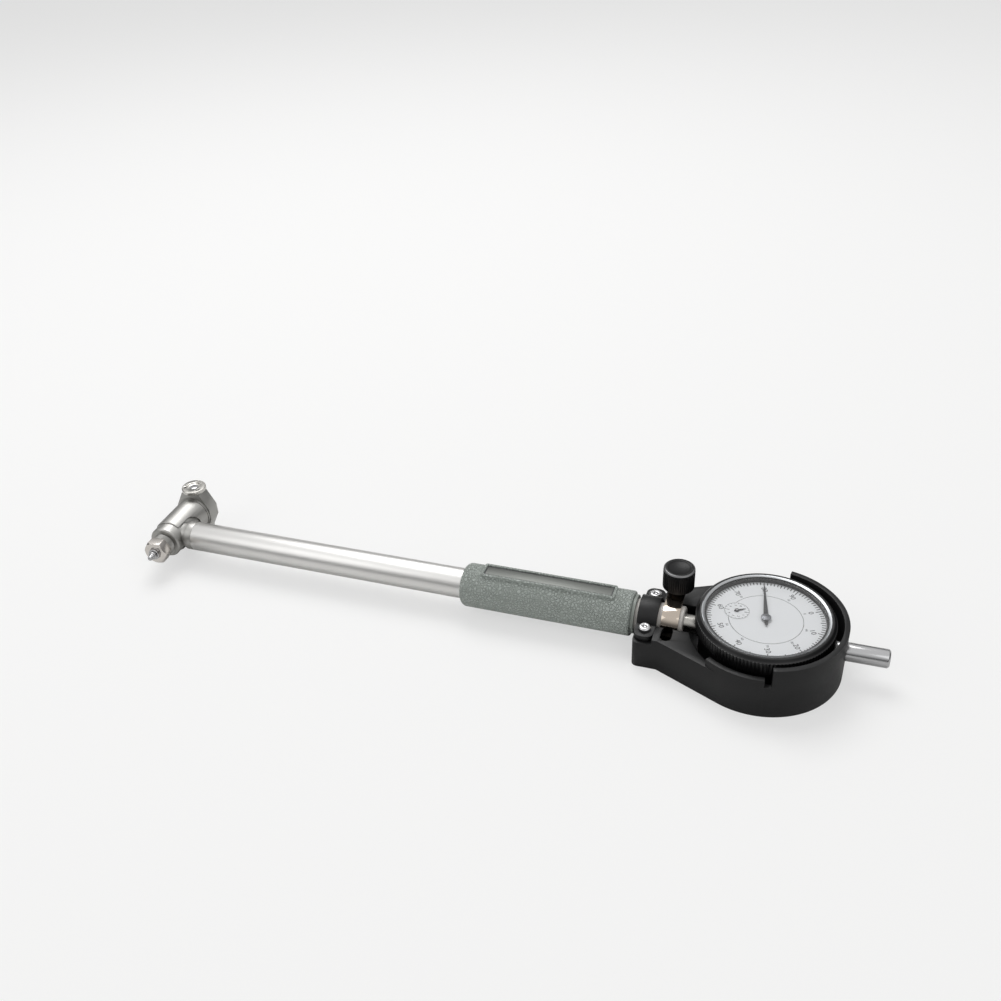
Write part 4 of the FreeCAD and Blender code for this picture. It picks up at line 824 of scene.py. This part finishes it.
@dataclass
class Stem(SubAssembly):
    """Tube, push rod, grip, label and white collar."""

    edge_mm: float = 0.15
    # Inset and width of the dark line painted round the label plate as the shade of its recess
    # edge
    label_inset_mm: float = 0.25
    label_line_mm: float = 0.4
    paint_mm: float = 0.02

    def build(self) -> None:
        """Finish the stem's pieces."""
        done = self.finishes
        self.finish_nodes([
            ("tube", done.tube_chrome, Body.STEM, "satin_silver"),
            ("grip", done.grip_vinyl, Body.STEM, "grey_grip"),
            ("label_strip", done.label_plate, Body.STEM, "label_plate"),
            ("grip_end_ring", done.bead_vinyl, Body.STEM, "grey_grip"),
            ("insulating_collar", done.collar_nylon, Body.STEM, "white_plastic"),
        ], self.edge_mm)
        self.finish_nodes([
            ("rod_guide_front", done.clock_brass, Body.STEM, "brass"),
            ("rod_guide_middle", done.clock_brass, Body.STEM, "brass"),
            ("rod_guide_rear", done.clock_brass, Body.STEM, "brass"),
            ("push_rod", done.ground_steel, Body.ROD, "steel"),
            ("rod_collar", done.ground_steel, Body.ROD, "steel"),
        ], SHARP)
        self.shop.finish_spring("rod_spring", done.spring_wire, Body.ROD, Body.STEM, 0)
        self.line_label()

    def line_label(self) -> None:
        """Paint a dark line round the bare label plate, as painted shade along the edge of its
        recess.
        """
        low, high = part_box("label_strip")
        inset = self.label_inset_mm * MM
        line = self.label_line_mm * MM
        levels = (high.z, high.z + self.paint_mm * MM)
        work = bmesh.new()
        loops = []
        for shrink, level in ((inset, levels[0]), (inset, levels[1]),
                              (inset + line, levels[1]), (inset + line, levels[0])):
            corners = [(low.x + shrink, low.y + shrink), (high.x - shrink, low.y + shrink),
                       (high.x - shrink, high.y - shrink), (low.x + shrink, high.y - shrink)]
            loops.append([work.verts.new((x, y, level)) for x, y in corners])
        for number, loop in enumerate(loops):
            after = loops[(number + 1) % len(loops)]
            for side in range(4):
                turn = (side + 1) % 4
                work.faces.new((loop[side], loop[turn], after[turn], after[side]))
        bmesh.ops.recalc_face_normals(work, faces=work.faces)
        # The dark ink line is painted shade where the plate meets its recessed frame
        piece = self.shop.new_piece("label_line", work, self.finishes.dial_ink)
        self.shop.keep(piece, Body.STEM, "black_hand")


@dataclass
class MeasuringHead(SubAssembly):
    """Head with the anvil, movable contact, crank, centring bridge and wheels."""

    edge_mm: float = 0.14
    thread_radius_mm: float = 5.15
    thread_pitch_mm: float = 0.85
    thread_crests: int = 4
    crest_mm: float = 0.38
    crest_degrees: float = 50.0
    thread_gap_mm: float = 0.05

    def build(self) -> None:
        """Finish the head's pieces and cut its thread."""
        done = self.finishes
        self.finish_nodes([
            ("head_body", done.head_nickel, Body.STEM, "satin_silver"),
            ("anvil", done.ground_steel, Body.STEM, "steel"),
            ("anvil_lock_nut", done.nut_nickel, Body.STEM, "polished_nickel"),
            ("contact_bush", done.ground_steel, Body.STEM, "steel"),
            ("crank_pin", done.ground_steel, Body.STEM, "steel"),
            ("movable_contact", done.ground_steel, Body.CONTACT, "steel"),
            ("contact_tip", done.ground_steel, Body.CONTACT, "steel"),
            ("bell_crank", done.ground_steel, Body.CRANK, "steel"),
            ("centring_bridge", done.head_nickel, Body.BRIDGE, "satin_silver"),
            ("bridge_stop_screw", done.ground_steel, Body.BRIDGE, "steel"),
            ("wheel_screws", done.ground_steel, Body.BRIDGE, "steel"),
            ("lower_wheel", done.wheel_nickel, Body.LOWER_WHEEL, "satin_silver"),
            ("upper_wheel", done.wheel_nickel, Body.UPPER_WHEEL, "satin_silver"),
        ], self.edge_mm)
        self.shop.finish_spring("bridge_spring", done.spring_wire, Body.STEM, Body.BRIDGE, 1)
        self.cut_nose_thread()

    def cut_nose_thread(self) -> None:
        """Thread the nose behind the lock nut, coarser than it is so that it shows."""
        low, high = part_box("anvil_lock_nut")
        centre = (low + high) / 2
        rings = self.shop.grow("nose_thread", thread_tree(), self.finishes.head_nickel,
                               crests=self.thread_crests, radius=self.thread_radius_mm * MM,
                               crest=self.crest_mm * MM, pitch=self.thread_pitch_mm * MM)
        turn = Matrix.Rotation(math.radians(-90), 4, "X")
        start = high.y + (self.crest_mm + self.thread_gap_mm) * MM
        place = Matrix.Translation((centre.x, start, centre.z)) @ turn
        rings.data.transform(place)
        self.shop.smooth(rings, self.crest_degrees)
        self.shop.keep(rings, Body.STEM, "satin_silver")


@dataclass
class Clamp(SubAssembly):
    """Band, nut, screw and knob that close the white collar on the dial's bushing."""

    edge_mm: float = 0.12
    # Where the knob's painted highlight lies on its top edge
    rim_from_top_mm: float = 1.3
    rim_width_mm: float = 0.75
    rim_slant: tuple[float, float] = (0.2, 0.95)

    def build(self) -> None:
        """Finish the clamp, with a painted highlight on the knob's rim."""
        done = self.finishes
        self.finish_nodes([
            ("clamp_band", done.bright_nickel, Body.STEM, "polished_nickel"),
            ("clamp_nut", done.bright_nickel, Body.STEM, "polished_nickel"),
        ], self.edge_mm)
        self.shop.finish_node("clamp_screw", done.ground_steel, Body.KNOB, "steel", SHARP)
        low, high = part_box("clamp_knob")
        centre = (low + high) / 2
        rim_radius = (high.x - low.x) / 2 - self.rim_width_mm * MM
        lowest, highest = self.rim_slant

        def on_rim(face: MeshPolygon) -> bool:
            """Pick the chamfer at the knob's top edge, which gets the painted highlight."""
            spot = face.center
            outward = math.hypot(spot.x - centre.x, spot.y - centre.y)
            slanted = lowest < face.normal.z < highest
            near_top = spot.z > high.z - self.rim_from_top_mm * MM
            return slanted and outward > rim_radius and near_top

        # The knob's top chamfer gets a paler metal as a painted highlight
        self.shop.finish_node("clamp_knob", done.knob_phenolic, Body.KNOB, "black_knob",
                              self.edge_mm, accent=(done.knob_rim, on_rim))


@dataclass
class Guard(SubAssembly):
    """Black guard with its strap and two screws."""

    edge_mm: float = 0.25
    screw_edge_mm: float = 0.12

    def build(self) -> None:
        """Finish the guard's pieces."""
        done = self.finishes
        self.finish_nodes([
            ("guard_plate", done.guard_nylon, Body.STEM, "black_guard"),
            ("guard_strap", done.guard_nylon, Body.STEM, "black_guard"),
        ], self.edge_mm)
        self.shop.finish_node("guard_screws", done.ground_steel, Body.STEM, "steel",
                              self.screw_edge_mm)


@dataclass
class Dial(SubAssembly):
    """Dial indicator: case, bezel, crystal, printed dial plates and hands."""

    edge_mm: float = 0.15
    ring_edge_mm: float = 0.06
    # How far the painted shade on the ring's inner wall reaches beyond the crystal's edge
    wall_reach_mm: float = 0.1
    marks: int = 100
    numerals: int = 10
    zero_degrees: float = 27.0
    mark_outer_mm: float = 24.3
    mark_lengths_mm: tuple[float, float, float] = (1.6, 2.1, 2.6)
    mark_width_mm: float = 0.38
    numeral_radius_mm: float = 19.6
    numeral_height_mm: float = 2.3
    small_radius_mm: float = 16.9
    small_height_mm: float = 1.1
    counter_radius_mm: float = 5.2
    counter_numerals: int = 10
    counter_numeral_radius_mm: float = 3.6
    counter_numeral_height_mm: float = 0.95
    counter_marks: int = 20
    counter_mark_lengths_mm: tuple[float, float, float] = (0.5, 0.5, 0.9)
    counter_mark_width_mm: float = 0.16
    counter_margin_mm: float = 0.3
    counter_gap_mm: float = 0.05
    counter_plate_mm: float = 0.05
    ink_mm: float = 0.03
    line_width_mm: float = 0.12

    def build(self) -> None:
        """Finish the case, then print the dial."""
        done = self.finishes
        self.finish_nodes([
            ("dial_case", done.case_enamel, Body.STEM, "black_case"),
            ("case_back", done.case_enamel, Body.STEM, "black_case"),
            ("case_back_screws", done.ground_steel, Body.STEM, "steel"),
            ("stem_bushing", done.stem_steel, Body.STEM, "steel"),
            ("spindle_cap", done.ground_steel, Body.STEM, "steel"),
            ("spindle", done.ground_steel, Body.SPINDLE, "steel"),
            ("contact_point", done.ground_steel, Body.SPINDLE, "steel"),
            ("bezel", done.case_enamel, Body.BEZEL, "black_case"),
        ], self.edge_mm)
        crystal_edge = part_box("crystal")[1].x

        def inner_wall(face: MeshPolygon) -> bool:
            """Pick the wall between the dial's face and the crystal, which gets black enamel as
            painted shade.
            """
            outward = math.hypot(face.center.x, face.center.y)
            return outward < crystal_edge + self.wall_reach_mm * MM

        # The ring's inner wall takes black enamel as painted shade
        self.shop.finish_node("bezel_ring", done.ring_aluminium, Body.BEZEL, "satin_silver",
                              self.ring_edge_mm, accent=(done.case_enamel, inner_wall))
        self.finish_nodes([
            ("crystal", done.crystal, Body.BEZEL, "clear_window"),
            ("scale_ring", done.dial_lacquer, Body.BEZEL, "white_face"),
            ("inner_dial", done.dial_lacquer, Body.STEM, "white_face"),
            ("main_hand", done.dial_ink, Body.HAND, "black_hand"),
            ("hand_hub", done.hub_steel, Body.HAND, "steel"),
            ("small_hand", done.dial_ink, Body.RACK_ARBOR, "black_hand"),
            ("movement_plate", done.clock_brass, Body.STEM, "brass"),
            ("train_bridge", done.clock_brass, Body.STEM, "brass"),
            ("rack_pinion", done.ground_steel, Body.RACK_ARBOR, "steel"),
            ("rack_gear", done.clock_brass, Body.RACK_ARBOR, "brass"),
            ("centre_pinion", done.ground_steel, Body.HAND, "steel"),
            ("take_up_gear", done.clock_brass, Body.TAKE_UP, "brass"),
            ("hairspring", done.spring_wire, Body.STEM, "spring_steel"),
        ], SHARP)
        self.shop.finish_spring("spindle_spring", done.spring_wire, Body.SPINDLE, Body.STEM, 0)
        self.print_scale()
        self.print_counter()

    @property
    def face_level(self) -> float:
        """Height of the printed face."""
        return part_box("scale_ring")[1].z

    @property
    def counter_level(self) -> float:
        """Height of the counter's own plate, whose rim lies over the turning scale ring."""
        return self.face_level + (self.counter_gap_mm + self.counter_plate_mm) * MM

    def numeral_place(self, centre: tuple[float, float], radius: float, angle: float,
                      upright: float, level: float) -> Matrix:
        """Place of a numeral that stands upright on a circle, as all numerals of the dial do.

        Args:
            centre: Centre of the circle, in metres.
            radius: Radius of the numerals' middles, in metres.
            angle: Direction from the centre, in radians.
            upright: Direction that the top of every numeral points in, in radians.
            level: Height of the face that it is printed on, in metres.

        Returns:
            Matrix from the text's plane to the dial.
        """
        spot = Vector((
            centre[0] + radius * math.cos(angle),
            centre[1] + radius * math.sin(angle),
            level + self.ink_mm * MM / 2,
        ))
        return Matrix.Translation(spot) @ Matrix.Rotation(upright - math.pi / 2, 4, "Z")

    def print_scale(self) -> None:
        """Print the hundred marks, the numerals and the line round the inner dial."""
        ink = self.finishes.dial_ink
        start = math.radians(self.zero_degrees)
        face = self.face_level
        short, medium, long = (length * MM for length in self.mark_lengths_mm)
        marks = self.shop.grow("scale_marks", dial_mark_tree(), ink, marks=self.marks,
                               outer_radius=self.mark_outer_mm * MM, short=short, medium=medium,
                               long=long, width=self.mark_width_mm * MM,
                               thickness=self.ink_mm * MM, level=face + self.ink_mm * MM / 2,
                               start=start)
        self.shop.keep(marks, Body.BEZEL, "black_hand")
        large = []
        small = []
        for step in range(self.numerals):
            angle = start - 2 * math.pi * step / self.numerals
            count = step * self.marks // self.numerals
            for items, number, height_mm, radius_mm in (
                (large, count, self.numeral_height_mm, self.numeral_radius_mm),
                (small, (self.marks - count) % self.marks, self.small_height_mm,
                 self.small_radius_mm),
            ):
                place = self.numeral_place((0.0, 0.0), radius_mm * MM, angle, start, face)
                items.append((str(number), height_mm * MM, place))
        numerals = self.shop.lettering("scale_numerals", ink, large, self.ink_mm * MM)
        self.shop.keep(numerals, Body.BEZEL, "black_hand")
        reversed_count = self.shop.lettering("scale_small_numerals", self.finishes.grey_ink,
                                             small, self.ink_mm * MM)
        self.shop.keep(reversed_count, Body.BEZEL, "black_hand")
        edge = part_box("inner_dial")[1].x
        inside = edge - self.line_width_mm * MM
        line = self.flat_ring("inner_dial_line", (0.0, 0.0), inside, edge, face)
        self.shop.keep(line, Body.STEM, "black_hand")

    def print_counter(self) -> None:
        """Print the small turn counter."""
        ink = self.finishes.dial_ink
        low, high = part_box("rack_pinion")
        centre = ((low.x + high.x) / 2, (low.y + high.y) / 2)
        radius = self.counter_radius_mm * MM
        inside = radius - self.line_width_mm * MM
        self.lay_counter_plate(centre, radius + self.counter_margin_mm * MM)
        level = self.counter_level
        line = self.flat_ring("counter_line", centre, inside, radius, level)
        self.shop.keep(line, Body.STEM, "black_hand")
        short, medium, long = (length * MM for length in self.counter_mark_lengths_mm)
        marks = self.shop.grow("counter_marks", dial_mark_tree(), ink, marks=self.counter_marks,
                               outer_radius=inside, short=short, medium=medium, long=long,
                               width=self.counter_mark_width_mm * MM,
                               thickness=self.ink_mm * MM, centre_x=centre[0],
                               centre_y=centre[1], level=level + self.ink_mm * MM / 2, start=0.0)
        self.shop.keep(marks, Body.STEM, "black_hand")
        items = []
        for step in range(self.counter_numerals):
            angle = -2 * math.pi * step / self.counter_numerals
            place = self.numeral_place(centre, self.counter_numeral_radius_mm * MM, angle,
                                       0.0, level)
            items.append((str(step), self.counter_numeral_height_mm * MM, place))
        numerals = self.shop.lettering("counter_numerals", ink, items, self.ink_mm * MM)
        self.shop.keep(numerals, Body.STEM, "black_hand")

    def lay_counter_plate(self, centre: tuple[float, float], radius: float) -> None:
        """Lay the counter's thin lacquered plate, with room for the scale's ink under its rim.

        Args:
            centre: Centre of the plate, in metres.
            radius: Its radius, in metres.
        """
        height = self.counter_plate_mm * MM
        work = bmesh.new()
        bmesh.ops.create_cone(work, cap_ends=True, segments=96, radius1=radius, radius2=radius,
                              depth=height)
        bmesh.ops.translate(work, verts=work.verts,
                            vec=(centre[0], centre[1], self.counter_level - height / 2))
        plate = self.shop.new_piece("counter_plate", work, self.finishes.dial_lacquer)
        self.shop.keep(plate, Body.STEM, "white_face")

    def flat_ring(self, name: str, centre: tuple[float, float], inner: float, outer: float,
                  level: float, sides: int = 128) -> Object:
        """Print a thin circle on the dial.

        Args:
            name: Name of the piece.
            centre: Centre of the circle, in metres.
            inner: Inner radius, in metres.
            outer: Outer radius, in metres.
            level: Height of the face that it is printed on, in metres.
            sides: Straight sides of the circle.

        Returns:
            The printed circle.
        """
        work = bmesh.new()
        levels = (level, level + self.ink_mm * MM)
        rings = []
        for radius in (inner, outer):
            for height in levels:
                ring = []
                for side in range(sides):
                    angle = 2 * math.pi * side / sides
                    ring.append(work.verts.new((
                        centre[0] + radius * math.cos(angle),
                        centre[1] + radius * math.sin(angle),
                        height,
                    )))
                rings.append(ring)
        inner_low, inner_top, outer_low, outer_top = rings
        for first, second in ((inner_top, outer_top), (outer_top, outer_low),
                              (outer_low, inner_low), (inner_low, inner_top)):
            for side in range(sides):
                after = (side + 1) % sides
                work.faces.new((first[side], second[side], second[after], first[after]))
        bmesh.ops.recalc_face_normals(work, faces=work.faces)
        return self.shop.new_piece(name, work, self.finishes.dial_ink)


@dataclass
class Studio:
    """Floor, soft lights and the camera at the photograph's viewing angle."""

    camera_at: Vector = field(default_factory=lambda: Vector((16.95, -361.8, 324.6)) * MM)
    forward: Vector = field(default_factory=lambda: Vector((-0.2838, 0.7768, -0.5621)))
    upward: Vector = field(default_factory=lambda: Vector((-0.1455, 0.5445, 0.8260)))
    lens_mm: float = 39.2
    sensor_mm: float = 36.0
    floor_size: float = 6.0
    floor_glow: float = 0.55
    world_level: float = 0.42
    horizon_level: float = 0.16
    dark_up_to: float = 0.1
    white_from: float = 0.75

    def build(self) -> None:
        """Set up the whole studio."""
        self.lay_floor()
        self.hang_lights()
        self.light_world()
        self.stand_camera()
        bpy.context.scene.view_settings.view_transform = "Standard"

    def lay_floor(self) -> None:
        """Lay a plain pale floor under the gauge."""
        half = self.floor_size / 2
        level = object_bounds()[0].z - 0.02 * MM
        mesh = bpy.data.meshes.new("floor")
        mesh.from_pydata([
            (-half, -half, level),
            (half, -half, level),
            (half, half, level),
            (-half, half, level),
        ], [], [(0, 1, 2, 3)])
        floor = bpy.data.objects.new("floor", mesh)
        bpy.context.scene.collection.objects.link(floor)
        material = bpy.data.materials.new("pale_floor")
        material.use_nodes = True
        tree = material.node_tree
        shader = tree.nodes["Principled BSDF"]
        shader.inputs["Base Color"].default_value = linear("#efefee")
        shader.inputs["Roughness"].default_value = 0.9
        shader.inputs["Specular IOR Level"].default_value = 0.1
        white = add_node(tree, "ShaderNodeEmission", {
            "Color": linear("#ffffff"),
            "Strength": 1.0,
        })
        share = add_node(tree, "ShaderNodeMath", {
            0: add_node(tree, "ShaderNodeLightPath").outputs["Is Camera Ray"],
            1: self.floor_glow,
        }, operation="MULTIPLY")
        both = add_node(tree, "ShaderNodeMixShader", {
            0: share.outputs["Value"],
            1: shader.outputs["BSDF"],
            2: white.outputs["Emission"],
        })
        tree.links.new(both.outputs["Shader"], tree.nodes["Material Output"].inputs["Surface"])
        mesh.materials.append(material)
        floor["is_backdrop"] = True

    def hang_lights(self) -> None:
        """Hang the soft lights."""
        target = Vector((-0.12, 0.0, 0.0))
        # Name, place and side in metres, and power in watts
        lights = [
            ("key_light", Vector((-0.45, 0.55, 1.15)), 0.8, 9.0),
            ("fill_light", Vector((0.75, -0.6, 0.9)), 1.0, 2.2),
            ("side_light", Vector((-0.95, -0.7, 0.75)), 0.8, 1.8),
        ]
        for name, spot, size, power in lights:
            data = bpy.data.lights.new(name, "AREA")
            data.shape = "SQUARE"
            data.size = size
            data.energy = power
            lamp = bpy.data.objects.new(name, data)
            lamp.location = spot
            lamp.rotation_mode = "QUATERNION"
            lamp.rotation_quaternion = (target - spot).to_track_quat("-Z", "Y")
            bpy.context.scene.collection.objects.link(lamp)

    def light_world(self) -> None:
        """Light the part evenly, and let metal and glass mirror a room that is white overhead."""
        world = bpy.data.worlds.new("studio_world")
        bpy.context.scene.world = world
        world.use_nodes = True
        tree = world.node_tree
        tree.nodes.clear()
        path = add_node(tree, "ShaderNodeLightPath")
        mirrored = add_node(tree, "ShaderNodeMath", {
            0: path.outputs["Is Glossy Ray"],
            1: path.outputs["Is Transmission Ray"],
        }, operation="MAXIMUM")
        shown = add_node(tree, "ShaderNodeMath", {
            0: mirrored.outputs["Value"],
            1: path.outputs["Is Camera Ray"],
        }, operation="MAXIMUM")
        direction = add_node(tree, "ShaderNodeTexCoord").outputs["Generated"]
        height = add_node(tree, "ShaderNodeSeparateXYZ", {"Vector": direction}).outputs["Z"]
        level = add_node(tree, "ShaderNodeMapRange", {
            "Value": height,
            "From Min": self.dark_up_to,
            "From Max": self.white_from,
            "To Min": self.horizon_level,
            "To Max": 1.0,
        }, interpolation_type="SMOOTHSTEP")
        white = add_node(tree, "ShaderNodeMath", {
            0: level.outputs["Result"],
            1: path.outputs["Is Camera Ray"],
        }, operation="MAXIMUM")
        soft = add_node(tree, "ShaderNodeBackground", {
            "Color": linear("#ffffff"),
            "Strength": self.world_level,
        })
        studio = add_node(tree, "ShaderNodeBackground", {
            "Color": linear("#ffffff"),
            "Strength": white.outputs["Value"],
        })
        both = add_node(tree, "ShaderNodeMixShader", {
            0: shown.outputs["Value"],
            1: soft.outputs["Background"],
            2: studio.outputs["Background"],
        })
        add_node(tree, "ShaderNodeOutputWorld", {"Surface": both.outputs["Shader"]})

    def stand_camera(self) -> None:
        """Stand the camera at the photograph's viewing angle."""
        data = bpy.data.cameras.new("camera")
        data.lens = self.lens_mm
        data.sensor_width = self.sensor_mm
        data.clip_start = 0.01
        data.clip_end = 20.0
        camera = bpy.data.objects.new("camera", data)
        forward = self.forward.normalized()
        right = forward.cross(self.upward).normalized()
        up = right.cross(forward)
        turn = Matrix((right, up, -forward)).transposed()
        camera.matrix_world = Matrix.Translation(self.camera_at) @ turn.to_4x4()
        bpy.context.scene.collection.objects.link(camera)
        bpy.context.scene.camera = camera


def main() -> None:
    """Build the gauge's sub-assemblies in order, then the studio."""
    logging.basicConfig(level=logging.INFO, format="%(name)s: %(message)s")
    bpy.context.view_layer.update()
    shop = Workshop()
    for part in (Stem(shop), MeasuringHead(shop), Clamp(shop), Guard(shop), Dial(shop)):
        part.build()
        LOG.info("%s is built", type(part).__name__)
    Studio().build()


if __name__ == "__main__":
    main()
